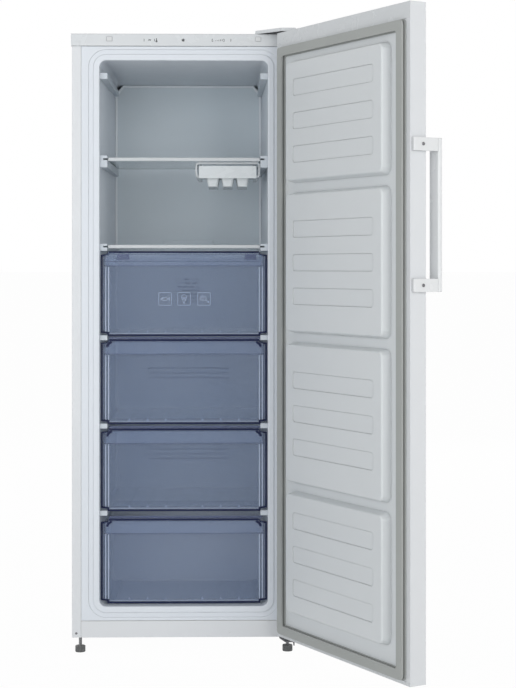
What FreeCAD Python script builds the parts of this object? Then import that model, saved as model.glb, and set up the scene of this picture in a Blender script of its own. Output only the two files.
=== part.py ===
import FreeCAD, Part
import math
import os
import re
import Sketcher

# Upright freezer with its door open, in millimetres. Every piece is drawn in cabinet places: across
# from the cabinet's middle, back from its front plane and up from the floor. Its placement then moves
# it so that the origin lies under the left front foot. Door pieces are drawn shut and turned open.

document = FreeCAD.newDocument("upright_freezer")
sizes = document.addObject("Spreadsheet::Sheet", "sizes")

driving_sizes = {
    # cabinet shell
    "cabinet_width": 595,
    "cabinet_depth": 590,
    "cabinet_top": 1651,
    "cabinet_bottom": 43,
    "sheet_gauge": 0.8,
    "front_return": 24,
    "rear_return": 18,
    "seam": 0.4,
    "touch_gap": 0.3,
    # opening and liner
    "opening_inset": 73,
    "opening_bottom": 125,
    "opening_top": 1580,
    "opening_corner": 18,
    "back_insulation": 75,
    "wall_draft": 9,
    "ceiling_draft": 14,
    "liner_wall": 2,
    "flange_wall": 3,
    "bead_pitch": 120,
    "bead_count": 4,
    "bead_rise": 1,
    "bead_half_width": 9,
    "bead_end": 60,
    "flange_bottom": 87,
    "flange_top": 1618,
    "rim_width": 16,
    "rim_round": 2.6,
    "groove_width": 13,
    "groove_sink": 1.5,
    "step_wall": 57,
    "step_top": 335,
    # machine room
    "underfloor": 61,
    "machine_depth": 198,
    "machine_top": 276,
    "condenser_tube": 5,
    "condenser_pitch": 110,
    "condenser_bottom": 330,
    "condenser_rows": 11,
    "compressor_radius": 72,
    "compressor_height": 160,
    "compressor_seam": 4,
    "compressor_shoulder": 26,
    "compressor_across": -95,
    "compressor_from_back": 103,
    "mount_height": 16,
    "mount_radius": 11,
    "mount_spread_across": 82,
    "mount_spread_back": 56,
    "base_plate": 1.5,
    "drier_radius": 9,
    "drier_length": 110,
    "drain_radius": 8,
    "drain_wall": 1.5,
    "drain_across": -60,
    "drain_from_back": 96,
    "drip_tray_wall": 2,
    "drip_tray_depth": 26,
    "drip_tray_half_width": 86,
    "drip_tray_half_depth": 62,
    "pipe_radius": 4,
    "pipe_spread": 20,
    "suction_up": 160,
    "discharge_up": 130,
    # front control box and kick band
    "fascia_proud": 3,
    "fascia_side": 2.5,
    "fascia_back": 40,
    "fascia_wall": 2.5,
    "button_width": 15,
    "button_height": 12,
    "button_across": 198,
    "button_up": 1637,
    "button_travel": 1.5,
    "button_proud": 1,
    "button_gap": 0.3,
    "button_corner": 1.5,
    "button_flange": 1.5,
    "button_stem_radius": 2,
    "switch_side": 7,
    "switch_height": 4,
    "board_width": 430,
    "board_height": 20,
    "board_thickness": 1.6,
    "board_back": 9,
    "boss_radius": 3,
    "boss_pitch": 150,
    "kick_wall": 2,
    # feet and rollers
    "foot_from_side": 20,
    "foot_from_front": 26,
    "foot_pad_radius": 13.5,
    "foot_pad_height": 16,
    "foot_stem_radius": 4,
    "foot_notches": 20,
    "foot_notch_radius": 1.2,
    "running_gap": 0.08,
    "rail_depth": 48,
    "rail_wall": 2,
    "roller_radius": 19,
    "roller_width": 20,
    "roller_from_side": 50,
    "roller_from_back": 32,
    "roller_axle_radius": 3,
    "roller_cheek": 2,
    # hinges
    "hinge_from_side": 17,
    "hinge_forward": 40,
    "hinge_plate": 3,
    "hinge_pin_radius": 4.5,
    "hinge_pin_reach": 16,
    "hinge_collar": 3.5,
    "hinge_screw_radius": 2.5,
    "hinge_screw_head": 4.5,
    "hinge_screw_rise": 2.2,
    "bush_wall": 2.5,
    "bush_flange": 2.2,
    "bush_flange_wall": 3,
    "bush_length": 20,
    "door_open_angle": 119.5,
    "hinge_cover_height": 9,
    "hinge_cover_left": 191,
    "hinge_cover_back": 72,
    "hinge_cover_front": 2,
    "hinge_cover_edge": 1,
    "hinge_cover_nose": 22,
    "hinge_edge": 10,
    "hinge_screw_left": 28,
    "hinge_screw_right": 8,
    "hinge_screw_middle": 24,
    "hinge_screw_front": 22,
    "hinge_screw_back": 50,
    "lower_hinge_left": 26,
    "lower_hinge_front": 4,
    "lower_hinge_back": 60,
    "lower_hinge_nose": 12,
    "foot_hole_gap": 1,
    # door
    "door_gap": 12,
    "door_thickness": 46,
    "door_bottom": 55,
    "door_top": 1647,
    "door_top_band": 39,
    "door_bottom_band": 9,
    "door_return": 15,
    "door_liner_wall": 2,
    "gasket_inset": 16,
    "gasket_width": 27,
    "gasket_base": 3,
    "gasket_neck": 6,
    "gasket_face": 4.2,
    "gasket_face_inset": 2,
    "gasket_free": 0.3,
    "gasket_corner": 10,
    "gasket_inner_corner": 6,
    "pad_inset": 75,
    "pad_rise": 24,
    "pad_draft": 6,
    "pad_corner": 20,
    "pad_round": 5,
    "pad_1_top": 1563,
    "pad_1_bottom": 1247,
    "pad_2_top": 1222,
    "pad_2_bottom": 859,
    "pad_3_top": 835,
    "pad_3_bottom": 471,
    "pad_4_top": 449,
    "pad_4_bottom": 134,
    "cap_wall": 2.5,
    "panel_inset": 42,
    "panel_height": 43,
    "panel_pitch": 86,
    "panel_count": 3,
    "panel_sink": 1.2,
    "panel_corner": 8,
    # handle
    "handle_top": 1331,
    "handle_bottom": 971,
    "handle_foot_height": 31,
    "handle_foot_width": 10,
    "handle_foot_back": 5,
    "handle_reach": 40,
    "handle_bar_width": 36,
    "handle_bar_depth": 12,
    "handle_screw_radius": 2.2,
    "handle_screw_head": 4,
    "handle_screw_rise": 1.8,
    "handle_screw_back": 25,
    "handle_round": 2,
    # evaporator space
    "cover_from_back": 120,
    "cover_wall": 2.5,
    "cover_chamfer_across": 20,
    "cover_chamfer_up": 26,
    "cover_fit": 0.5,
    "cover_side": 1.5,
    "duct_half_width": 81,
    "duct_top": 1108,
    "duct_bottom": 1066,
    "duct_proud": 8,
    "duct_slope": 10,
    "fan_up": 960,
    "fan_behind_cover": 6,
    "fan_radius": 44,
    "shroud_gap": 2,
    "shroud_reach": 33,
    "fan_hub_radius": 15,
    "fan_blades": 7,
    "fan_depth": 12,
    "fan_blade_wall": 1.6,
    "fan_blade_slant": 8,
    "fan_shaft_radius": 1.5,
    "motor_radius": 20,
    "motor_behind_cover": 22,
    "motor_depth": 14,
    "motor_arm_width": 7,
    "motor_arm_depth": 2.5,
    "motor_arms": 3,
    "grille_slot_height": 5,
    "grille_slot_pitch": 11,
    "grille_slots": 7,
    "vent_half_width": 120,
    "vent_rows": 3,
    "vent_pitch": 14,
    "vent_bottom": 700,
    "vent_drop": 240,
    "coil_bottom": 560,
    "coil_height": 190,
    "coil_half_width": 170,
    "coil_depth": 34,
    "coil_rows": 4,
    "fin_wall": 0.8,
    "fin_pitch": 30,
    "fin_count": 12,
    "coil_tube_radius": 4,
    "heater_radius": 3,
    "heater_drop": 14,
    # shelf and drawer runners
    "runner_width": 20,
    "runner_front": 14,
    "runner_short": 18,
    "top_runner_bottom": 1532,
    "top_runner_height": 16,
    "upper_shelf_up": 1316,
    "lower_shelf_up": 1082,
    "slot_height": 4.6,
    "slot_depth": 11,
    "floor_runner_front": 34,
    "floor_runner_short": 5,
    "upper_runner_below": 20,
    "upper_runner_above": 7,
    "lower_runner_below": 9,
    "lower_runner_above": 5,
    "drawer_runner_height": 13,
    "drawer_1_floor": 847,
    "drawer_2_floor": 611,
    "drawer_3_floor": 378,
    "drawer_4_floor": 131,
    # shelves
    "glass_thickness": 4,
    "shelf_front": 25,
    "shelf_depth": 380,
    "shelf_corner": 25,
    "shelf_slack": 1,
    "trim_height": 9.5,
    "trim_lip": 2.5,
    "trim_depth": 14,
    "trim_bite": 9,
    # ice tray and its carrier
    "carrier_left": 30,
    "carrier_right": 204,
    "carrier_height": 41,
    "carrier_drop": 4.5,
    "carrier_bar": 5,
    "carrier_corner": 9,
    "carrier_hook": 15,
    "carrier_tab": 12,
    "carrier_depth": 230,
    "carrier_front": 40,
    "tray_plate": 2.5,
    "tray_slack": 3,
    "tray_length": 205,
    "tray_lip_top": 1301,
    "tray_lip_bottom": 1268,
    "tray_lip_wall": 3,
    "tray_lip_front": 30,
    "tray_lip_inset": 10,
    "cup_pitch": 40,
    "cup_width": 36,
    "cup_taper": 5,
    "cup_depth": 29,
    "cup_length": 185,
    "cup_wall": 1.5,
    "web_pitch": 37,
    "web_count": 4,
    "web_height": 16,
    # drawers
    "drawer_front": 25,
    "drawer_side_gap": 1.5,
    "front_wall": 2.5,
    "front_frame": 8,
    "front_frame_proud": 2.5,
    "front_drop": 3,
    "tall_front": 228,
    "short_front": 222,
    "grip_height": 40,
    "grip_proud": 8,
    "grip_wall": 3,
    "grip_side": 10,
    "front_corner": 4,
    "notch_width": 20,
    "notch_height": 9,
    "tub_wall": 2.5,
    "tub_rim_below": 13,
    "tub_rim_width": 3.7,
    "tub_half_width": 211,
    "tub_draft": 1.5,
    "tub_corner": 16,
    "long_tub": 415,
    "short_tub": 298,
    "tub_rib_pitch": 49,
    "tub_rib_end": 30,
    "tub_rib_width": 3,
    "tub_rib_height": 2.5,
}

for row, (name, value) in enumerate(driving_sizes.items(), start=1):
    sizes.set(f"A{row}", name)
    sizes.set(f"B{row}", str(value))
    sizes.setAlias(f"B{row}", name)
document.recompute()

# places worked out from the sizes above, most of them kept at one distance from the cabinet's back
worked_places = {
    "fascia_bottom": "(flange_top + seam)",
    "cavity_depth": "(cabinet_depth - back_insulation)",
    "machine_front": "(cabinet_depth - machine_depth)",
    "step_front": "(cabinet_depth - machine_depth - step_wall)",
    "floor_runner_back": "(cabinet_depth - machine_depth - step_wall - floor_runner_short)",
    "compressor_back": "(cabinet_depth - compressor_from_back)",
    "drain_back": "(cabinet_depth - drain_from_back)",
    "roller_back": "(cabinet_depth - roller_from_back)",
    "cover_front": "(cabinet_depth - cover_from_back)",
    "fan_front": "(cabinet_depth - cover_from_back + fan_behind_cover)",
    "shroud_back": "(cabinet_depth - cover_from_back + shroud_reach)",
    "motor_front": "(cabinet_depth - cover_from_back + motor_behind_cover)",
    "runner_back": "(cabinet_depth - cover_from_back - runner_short)",
}

# places that several pieces share, as words made of the sizes above
half_width = "cabinet_width / 2"
opening_half = "(cabinet_width / 2 - opening_inset)"
inner_half = "(cabinet_width / 2 - sheet_gauge)"
runner_face = "(cabinet_width / 2 - opening_inset - runner_width)"
foam_back = "(cabinet_depth - 2 * sheet_gauge - condenser_tube - touch_gap)"
door_back = "(-door_gap)"
door_front = "(-door_gap - door_thickness)"
hinge_across = "(cabinet_width / 2 - hinge_from_side)"
foot_across = "(cabinet_width / 2 - foot_from_side)"


def spelled(words):
    """The same expression with each worked place written out."""
    return re.sub(r"[a-z_]\w*", lambda found: worked_places.get(found[0], found[0]), str(words))


def tied(words):
    """The same expression with each size read from the sheet."""
    return re.sub(r"[a-z_]\w*", lambda found: sizes_name(found[0]), spelled(words))


def sizes_name(word):
    return f"sizes.{word}" if word in driving_sizes else word


def worth(words):
    """The value of an expression now."""
    return float(sizes.evalExpression(spelled(words)))


def bind(thing, setting, words):
    thing.setExpression(setting, tied(words))


def wall_half(depth):
    """Half the cavity's width at this depth: the walls close in towards the back."""
    return f"({opening_half} - wall_draft * ({depth}) / cavity_depth)"


# ---- bodies, sketches and features


def new_body(label):
    body = document.addObject("PartDesign::Body", label)
    body.Label = label
    return body


def sketch_on(body, role, name, height):
    """A sketch on one of the body's own planes, moved along that plane's normal."""
    plane = [item for item in body.Origin.OriginFeatures if item.Role == role][0]
    sketch = body.newObject("Sketcher::SketchObject", name)
    sketch.AttachmentSupport = [(plane, "")]
    sketch.MapMode = "FlatFace"
    bind(sketch, "AttachmentOffset.Base.z", height)
    return sketch


def plan(body, name, up):
    """Sketch seen from above: across and back."""
    return sketch_on(body, "XY_Plane", name, up)


def face(body, name, back):
    """Sketch seen from the front: across and up. Its normal points to the front."""
    return sketch_on(body, "XZ_Plane", name, f"-({back})")


def profile(body, name, across):
    """Sketch seen from the side: back and up."""
    return sketch_on(body, "YZ_Plane", name, across)


def fix_point(sketch, element, spot, across, up):
    for kind, words in (("DistanceX", across), ("DistanceY", up)):
        rule = Sketcher.Constraint(kind, -1, 1, element, spot, worth(words))
        bind(sketch, f"Constraints[{sketch.addConstraint(rule)}]", words)


def outline(sketch, corners):
    """A closed outline of straight lines through these corners."""
    spots = [FreeCAD.Vector(worth(across), worth(up), 0) for across, up in corners]
    first = sketch.GeometryCount
    for start, end in zip(spots, spots[1:] + spots[:1]):
        sketch.addGeometry(Part.LineSegment(start, end))
    for number in range(len(spots)):
        following = first + (number + 1) % len(spots)
        sketch.addConstraint(Sketcher.Constraint("Coincident", first + number, 2, following, 1))
    for number, (across, up) in enumerate(corners):
        fix_point(sketch, first + number, 1, across, up)


def rectangle(sketch, left, right, bottom, top):
    outline(sketch, ((left, bottom), (right, bottom), (right, top), (left, top)))


def rounded(sketch, left, right, bottom, top, radius):
    """A rectangle with round corners."""
    first = sketch.GeometryCount
    ends = ((right, "-", top, "-"), (left, "+", top, "-"), (left, "+", bottom, "+"), (right, "-", bottom, "+"))
    centres = [(f"{x} {a} ({radius})", f"{y} {b} ({radius})") for x, a, y, b in ends]
    arcs = []
    for turn, (across, up) in enumerate(centres):
        circle = Part.Circle(FreeCAD.Vector(worth(across), worth(up), 0), FreeCAD.Vector(0, 0, 1), worth(radius))
        arcs.append(Part.ArcOfCircle(circle, turn * math.pi / 2, (turn + 1) * math.pi / 2))
        sketch.addGeometry(arcs[turn])
    for turn in range(4):
        sketch.addGeometry(Part.LineSegment(arcs[turn].EndPoint, arcs[(turn + 1) % 4].StartPoint))
    for turn, (across, up) in enumerate(centres):
        arc, line, following = first + turn, first + 4 + turn, first + (turn + 1) % 4
        sketch.addConstraint(Sketcher.Constraint("Tangent", arc, 2, line, 1))
        sketch.addConstraint(Sketcher.Constraint("Tangent", line, 2, following, 1))
        fix_point(sketch, arc, 3, across, up)
        rule = Sketcher.Constraint("Radius", arc, worth(radius))
        bind(sketch, f"Constraints[{sketch.addConstraint(rule)}]", radius)


def circle(sketch, across, up, radius):
    centre = FreeCAD.Vector(worth(across), worth(up), 0)
    element = sketch.addGeometry(Part.Circle(centre, FreeCAD.Vector(0, 0, 1), worth(radius)))
    fix_point(sketch, element, 3, across, up)
    rule = Sketcher.Constraint("Radius", element, worth(radius))
    bind(sketch, f"Constraints[{sketch.addConstraint(rule)}]", radius)


def stretch(body, kind, sketch, length, backwards=False):
    """A pad or pocket of a sketch, along its normal or against it."""
    feature = body.newObject(f"PartDesign::{kind}", f"{kind}_{sketch.Name}")
    feature.Profile = sketch
    feature.Reversed = backwards
    bind(feature, "Length", length)
    return feature


def pad(body, sketch, length, backwards=False):
    return stretch(body, "Pad", sketch, length, backwards)


def pocket(body, sketch, length, backwards=False):
    return stretch(body, "Pocket", sketch, length, backwards)


def loft(body, kind, first, last):
    feature = body.newObject(f"PartDesign::{kind}Loft", f"Loft_{first.Name}")
    feature.Profile = first
    feature.Sections = [last]
    feature.Ruled = True
    return feature


def revolve(body, sketch, axis="V_Axis"):
    feature = body.newObject("PartDesign::Revolution", f"Revolution_{sketch.Name}")
    feature.Profile = sketch
    feature.ReferenceAxis = (sketch, [axis])
    feature.Angle = 360
    return feature


def row_of(body, feature, sketch, axis, spacing, count):
    """Copies of a feature in a straight row along an axis of its sketch."""
    pattern = body.newObject("PartDesign::LinearPattern", f"Row_{feature.Name}")
    pattern.Originals = [feature]
    pattern.Direction = (sketch, [axis])
    pattern.Mode = "Spacing"
    bind(pattern, "Offset", spacing)
    bind(pattern, "Occurrences", count)
    body.Tip = pattern
    return pattern


def ring_of(body, feature, sketch, axis, count):
    """Copies of a feature round an axis of its sketch."""
    pattern = body.newObject("PartDesign::PolarPattern", f"Ring_{feature.Name}")
    pattern.Originals = [feature]
    pattern.Axis = (sketch, [axis])
    pattern.Angle = 360
    bind(pattern, "Occurrences", count)
    body.Tip = pattern
    return pattern


def mirror_across(body, feature):
    """The same feature on the other side of the cabinet's middle."""
    plane = [item for item in body.Origin.OriginFeatures if item.Role == "YZ_Plane"][0]
    pattern = body.newObject("PartDesign::Mirrored", f"Mirror_{feature.Name}")
    pattern.Originals = [feature]
    pattern.MirrorPlane = (plane, [""])
    body.Tip = pattern
    return pattern


def round_edges(body, radius, chosen, kind="Fillet"):
    """Rounds, or chamfers, the chosen edges of the body as it is so far."""
    document.recompute()
    before = body.Tip
    names = [f"Edge{n}" for n, edge in enumerate(before.Shape.Edges, start=1) if chosen(edge)]
    feature = body.newObject(f"PartDesign::{kind}", f"{kind}_{before.Name}")
    feature.Base = (before, names)
    bind(feature, "Radius" if kind == "Fillet" else "Size", radius)
    return feature


def runs_along(edge, axis):
    """Whether an edge is straight and parallel to the x, y or z axis."""
    if edge.Curve.TypeId != "Part::GeomLine":
        return False
    return abs(getattr(edge.Curve.Direction, axis)) > 0.999


def lies_at(edge, **places):
    """Whether an edge's middle has these coordinates, given as expressions."""
    middle = edge.BoundBox.Center
    return all(abs(getattr(middle, axis) - worth(words)) < 0.01 for axis, words in places.items())


def lies_on_plane(edge, axis, words):
    """Whether the whole edge lies in the plane at this place along the axis."""
    box, place = edge.BoundBox, worth(words)
    low, high = getattr(box, axis.upper() + "Min"), getattr(box, axis.upper() + "Max")
    return abs(low - place) < 0.01 and abs(high - place) < 0.01


# ---- placements


origin_across = "(cabinet_width / 2 - foot_from_side)"
origin_back = "(-foot_from_front)"


def stand(piece, across="0", back="0", up="0"):
    """Puts a cabinet piece in its place from the origin under the left front foot."""
    bind(piece, "Placement.Base.x", f"{origin_across} + ({across})")
    bind(piece, "Placement.Base.y", f"{origin_back} + ({back})")
    bind(piece, "Placement.Base.z", up)
    return piece


def hang(piece):
    """Puts a door piece in its place and turns it open about the hinge line."""
    shift = f"vector({origin_across}; {origin_back}; 0)"
    turn = "rotation(vector(0; 0; 1); door_open_angle)"
    centre = f"vector({hinge_across}; -hinge_forward; 0)"
    bind(piece, "Placement", f"placement({shift}; {turn}; {centre})")
    return piece


def cut(label, base, tool):
    result = document.addObject("Part::Cut", label)
    result.Label = label
    result.Base = base
    result.Tool = tool
    return result


def fuse(label, pieces):
    result = document.addObject("Part::MultiFuse", label)
    result.Label = label
    result.Shapes = pieces
    return result


def bent_tube(label, points, radius, bend):
    """A tube through these corners, with an arc of one radius at each."""
    edges = []
    start = points[0]
    for before, corner, after in zip(points, points[1:], points[2:]):
        inward = (before - corner).normalize()
        outward = (after - corner).normalize()
        half_turn = math.pi / 2 - inward.getAngle(outward) / 2
        reach = bend * math.tan(half_turn)
        enter, leave = corner + inward * reach, corner + outward * reach
        middle = (inward + outward).normalize()
        crown = corner + middle * (bend / math.cos(half_turn) - bend)
        if start.distanceToPoint(enter) > 1e-6:
            edges.append(Part.LineSegment(start, enter).toShape())
        edges.append(Part.Arc(enter, crown, leave).toShape())
        start = leave
    edges.append(Part.LineSegment(start, points[-1]).toShape())
    path = Part.Wire(edges)
    ring = Part.Wire([Part.Circle(points[0], points[1] - points[0], radius).toShape()])
    piece = document.addObject("Part::Feature", label)
    piece.Label = label
    piece.Shape = path.makePipeShell([ring], True, False)
    return piece


pieces = []


def keep(piece):
    pieces.append(piece)
    return piece


# ---- cabinet shell


def side_panel(label, side):
    """Folded steel side: a flat wall with a return at the front and another at the back."""
    body = new_body(label)
    outer, inner = f"{side} * {half_width}", f"{side} * {inner_half}"
    front_end = f"{side} * ({half_width} - front_return)"
    rear_end = f"{side} * ({half_width} - rear_return)"
    section = plan(body, f"{label}_section", "cabinet_bottom")
    outline(section, (
        (outer, "0"), (front_end, "0"), (front_end, "sheet_gauge"), (inner, "sheet_gauge"),
        (inner, "cabinet_depth - sheet_gauge"), (rear_end, "cabinet_depth - sheet_gauge"),
        (rear_end, "cabinet_depth"), (outer, "cabinet_depth"),
    ))
    pad(body, section, "cabinet_top - cabinet_bottom")
    widest = f"{half_width} + seam" if side > 0 else f"front_return + seam - {half_width}"
    notch = profile(body, f"{label}_notch", widest)
    rectangle(notch, "-seam", "fascia_back + seam", "fascia_bottom - seam", "cabinet_top + seam")
    pocket(body, notch, "front_return + 2 * seam")
    round_edges(body, "2 * sheet_gauge", lambda edge: runs_along(edge, "z") and lies_at(edge, x=outer, y="0"))
    return keep(stand(body))


def top_panel():
    """Steel top with its front edge folded down behind the control box."""
    body = new_body("top_panel")
    section = profile(body, "top_section", f"-{inner_half}")
    front, back = "fascia_back + seam", "cabinet_depth - sheet_gauge"
    under, fold = "cabinet_top - sheet_gauge", "cabinet_top - 16 * sheet_gauge"
    outline(section, (
        (front, fold), (f"{front} + sheet_gauge", fold), (f"{front} + sheet_gauge", under),
        (back, under), (back, "cabinet_top"), (front, "cabinet_top"),
    ))
    pad(body, section, f"2 * {inner_half}")
    return keep(stand(body))


def back_panel():
    """Flat steel back inside the side panels' rear returns, with pressed stiffening beads."""
    body = new_body("back_panel")
    low, high = "machine_top + 20 * sheet_gauge", "cabinet_top - sheet_gauge"
    sheet = face(body, "back_sheet", "cabinet_depth - 2 * sheet_gauge")
    rectangle(sheet, f"-{inner_half}", inner_half, low, high)
    pad(body, sheet, "sheet_gauge", backwards=True)
    bead = face(body, "back_bead", "cabinet_depth - sheet_gauge")
    first = "bead_pitch * (bead_count - 1) / 2"
    rounded(bead, f"-bead_half_width - {first}", f"bead_half_width - {first}", f"{low} + bead_end",
            f"{high} - bead_end", "bead_half_width - touch_gap")
    raised = pad(body, bead, "bead_rise", backwards=True)
    row_of(body, raised, bead, "H_Axis", "bead_pitch", "bead_count")
    return keep(stand(body))


def machine_room_wall():
    """Folded sheet under and behind the foam that makes the floor, wall and roof of the machine room."""
    body = new_body("machine_room_wall")
    section = profile(body, "machine_section", f"-{inner_half}")
    outline(section, (
        ("flange_wall", "underfloor"), ("machine_front", "underfloor"), ("machine_front", "machine_top"),
        (foam_back, "machine_top"), (foam_back, "machine_top + sheet_gauge"),
        ("machine_front - sheet_gauge", "machine_top + sheet_gauge"),
        ("machine_front - sheet_gauge", "underfloor + sheet_gauge"), ("flange_wall", "underfloor + sheet_gauge"),
    ))
    pad(body, section, f"2 * {inner_half}")
    hole = plan(body, "machine_drain", "machine_top + 2 * sheet_gauge")
    circle(hole, "drain_across", "drain_back", "drain_radius + touch_gap")
    pocket(body, hole, "3 * sheet_gauge")
    return keep(stand(body))


def cavity_form(label, grow):
    """The inside of the cavity, or the same form grown by the liner's wall, with its step at the back."""
    body = new_body(f"{label}_taper")
    mouth = face(body, f"{label}_mouth", "0")
    rounded(mouth, f"-{opening_half} - {grow}", f"{opening_half} + {grow}",
            f"opening_bottom - {grow}", f"opening_top + {grow}", f"opening_corner + {grow}")
    end = face(body, f"{label}_end", f"cavity_depth + {grow}")
    back_half = f"({opening_half} - wall_draft + {grow})"
    rounded(end, f"-{back_half}", back_half, f"opening_bottom - {grow}",
            f"opening_top - ceiling_draft + {grow}", f"opening_corner + {grow}")
    loft(body, "Additive", mouth, end)
    step = profile(body, f"{label}_step", f"{half_width}")
    rectangle(step, f"step_front + {grow}", "cabinet_depth", "cabinet_bottom", f"step_top - {grow}")
    pocket(body, step, "cabinet_width")
    return body


def insulation_foam(hollow):
    """Foam poured between the steel skin and the liner, stepped over the machine room."""
    body = new_body("foam_block")
    section = profile(body, "foam_section", f"-{inner_half}")
    high = "cabinet_top - sheet_gauge"
    box_back = "fascia_back + seam + sheet_gauge"
    outline(section, (
        ("flange_wall", "underfloor + sheet_gauge"), ("machine_front - sheet_gauge", "underfloor + sheet_gauge"),
        ("machine_front - sheet_gauge", "machine_top + sheet_gauge"), (foam_back, "machine_top + sheet_gauge"),
        (foam_back, high), (box_back, high), (box_back, "flange_top - flange_wall"),
        ("flange_wall", "flange_top - flange_wall"),
    ))
    pad(body, section, f"2 * {inner_half}")
    drain = plan(body, "foam_drain", "step_top + flange_wall")
    circle(drain, "drain_across", "drain_back", "drain_radius + touch_gap")
    pocket(body, drain, "step_top")
    return keep(stand(cut("insulation_foam", body, hollow)))


def inner_liner(shell, hollow):
    """Formed plastic liner: a tapered cavity, a flange with a gasket groove and a rounded rim."""
    flange = new_body("liner_flange")
    side = f"({half_width} - front_return - seam)"
    plate = face(flange, "flange_plate", "0")
    rectangle(plate, f"-{side}", side, "flange_bottom + seam", "flange_top - seam")
    pad(flange, plate, "flange_wall", backwards=True)

    def ring(name, back, inset):
        sketch = face(flange, name, back)
        rounded(sketch, f"-{opening_half} - {inset}", f"{opening_half} + {inset}",
                f"opening_bottom - {inset}", f"opening_top + {inset}", f"opening_corner + {inset}")
        return sketch

    groove = ring("groove", "0", "(rim_width + groove_width)")
    pocket(flange, groove, "groove_sink")
    rim = ring("rim", "groove_sink", "rim_width")
    pad(flange, rim, "groove_sink")
    skin = fuse("liner_skin", [flange, shell])
    bore = document.addObject("Part::Cylinder", "liner_drain")
    bind(bore, "Radius", "drain_radius + touch_gap")
    bind(bore, "Height", "4 * liner_wall")
    bind(bore, "Placement.Base.x", "drain_across")
    bind(bore, "Placement.Base.y", "drain_back")
    bind(bore, "Placement.Base.z", "step_top - 2 * liner_wall")
    open_liner = cut("open_liner", cut("liner_hollowed", skin, hollow), bore)
    document.recompute()
    reach = worth(f"{opening_half} + seam")
    rounding = document.addObject("Part::Fillet", "inner_liner")
    rounding.Label = "inner_liner"
    rounding.Base = open_liner
    rounding.Edges = [
        (number, worth("rim_round"), worth("rim_round"))
        for number, edge in enumerate(open_liner.Shape.Edges, start=1)
        if lies_on_plane(edge, "y", "0") and edge.BoundBox.XMax < reach and edge.BoundBox.XMin > -reach
        and edge.BoundBox.ZMax < worth("opening_top + seam") and edge.BoundBox.ZMin > worth("opening_bottom - seam")
    ]
    return keep(stand(rounding))


def front_cross_rail():
    """Channel under the front of the cabinet that the levelling feet screw into."""
    body = new_body("front_cross_rail")
    section = profile(body, "rail_section", f"-{inner_half}")
    low, high = "cabinet_bottom", "underfloor"
    outline(section, (
        ("flange_wall", low), ("rail_depth", low), ("rail_depth", f"{low} + rail_wall"),
        ("flange_wall + rail_wall", f"{low} + rail_wall"), ("flange_wall + rail_wall", f"{high} - rail_wall"),
        ("rail_depth", f"{high} - rail_wall"), ("rail_depth", high), ("flange_wall", high),
    ))
    pad(body, section, f"2 * {inner_half}")
    holes = plan(body, "rail_holes", "underfloor + seam")
    for side in (-1, 1):
        circle(holes, f"{side} * {foot_across}", "foot_from_front", "foot_stem_radius + running_gap")
    pocket(body, holes, "underfloor")
    return keep(stand(body))


def kick_panel():
    """Plain front strip below the liner's flange, with a lip folded back at its top and bottom."""
    body = new_body("kick_panel")
    side = f"({half_width} - front_return - seam)"
    low, high = "cabinet_bottom", "flange_bottom - seam"
    section = profile(body, "kick_section", f"-{side}")
    outline(section, (
        ("0", low), ("flange_wall", low), ("flange_wall", f"{low} + kick_wall"), ("kick_wall", f"{low} + kick_wall"),
        ("kick_wall", f"{high} - kick_wall"), ("flange_wall", f"{high} - kick_wall"), ("flange_wall", high), ("0", high),
    ))
    pad(body, section, f"2 * {side}")
    return keep(stand(body))


# ---- feet and rollers


def group(label, members):
    """Identical fasteners or fittings that share one file as separate solids."""
    result = document.addObject("Part::Compound", label)
    result.Label = label
    result.Links = members
    return result


def front_foot(label, side):
    """Levelling foot: a grooved pad on a screwed stem."""
    body = new_body(label)
    section = face(body, f"{label}_section", "0")
    edge = "running_gap * 10"
    outline(section, (
        ("0", "0"), (f"foot_pad_radius - {edge}", "0"), ("foot_pad_radius", edge),
        ("foot_pad_radius", f"foot_pad_height - {edge}"), (f"foot_pad_radius - {edge}", "foot_pad_height"),
        ("foot_stem_radius", "foot_pad_height"), ("foot_stem_radius", "underfloor - rail_wall / 2"),
        ("0", "underfloor - rail_wall / 2"),
    ))
    revolve(body, section)
    notch = plan(body, f"{label}_notch", "foot_pad_height")
    circle(notch, "foot_pad_radius", "0", "foot_notch_radius")
    groove = pocket(body, notch, "foot_pad_height")
    ring_of(body, groove, notch, "N_Axis", "foot_notches")
    return keep(stand(body, f"{side} * {foot_across}", "foot_from_front"))


def rear_roller(label, side):
    """Plain roller that lets the cabinet be wheeled back."""
    body = new_body(label)
    section = face(body, f"{label}_section", "0")
    half, bore = "roller_width / 2", "roller_axle_radius + running_gap"
    outline(section, (
        (f"-{half}", bore), (half, bore), (half, "roller_radius - roller_cheek"),
        (f"{half} - roller_cheek", "roller_radius"), (f"roller_cheek - {half}", "roller_radius"),
        (f"-{half}", "roller_radius - roller_cheek"),
    ))
    revolve(body, section, "H_Axis")
    return keep(stand(body, f"{side} * ({half_width} - roller_from_side)", "roller_back", "roller_radius"))


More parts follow.
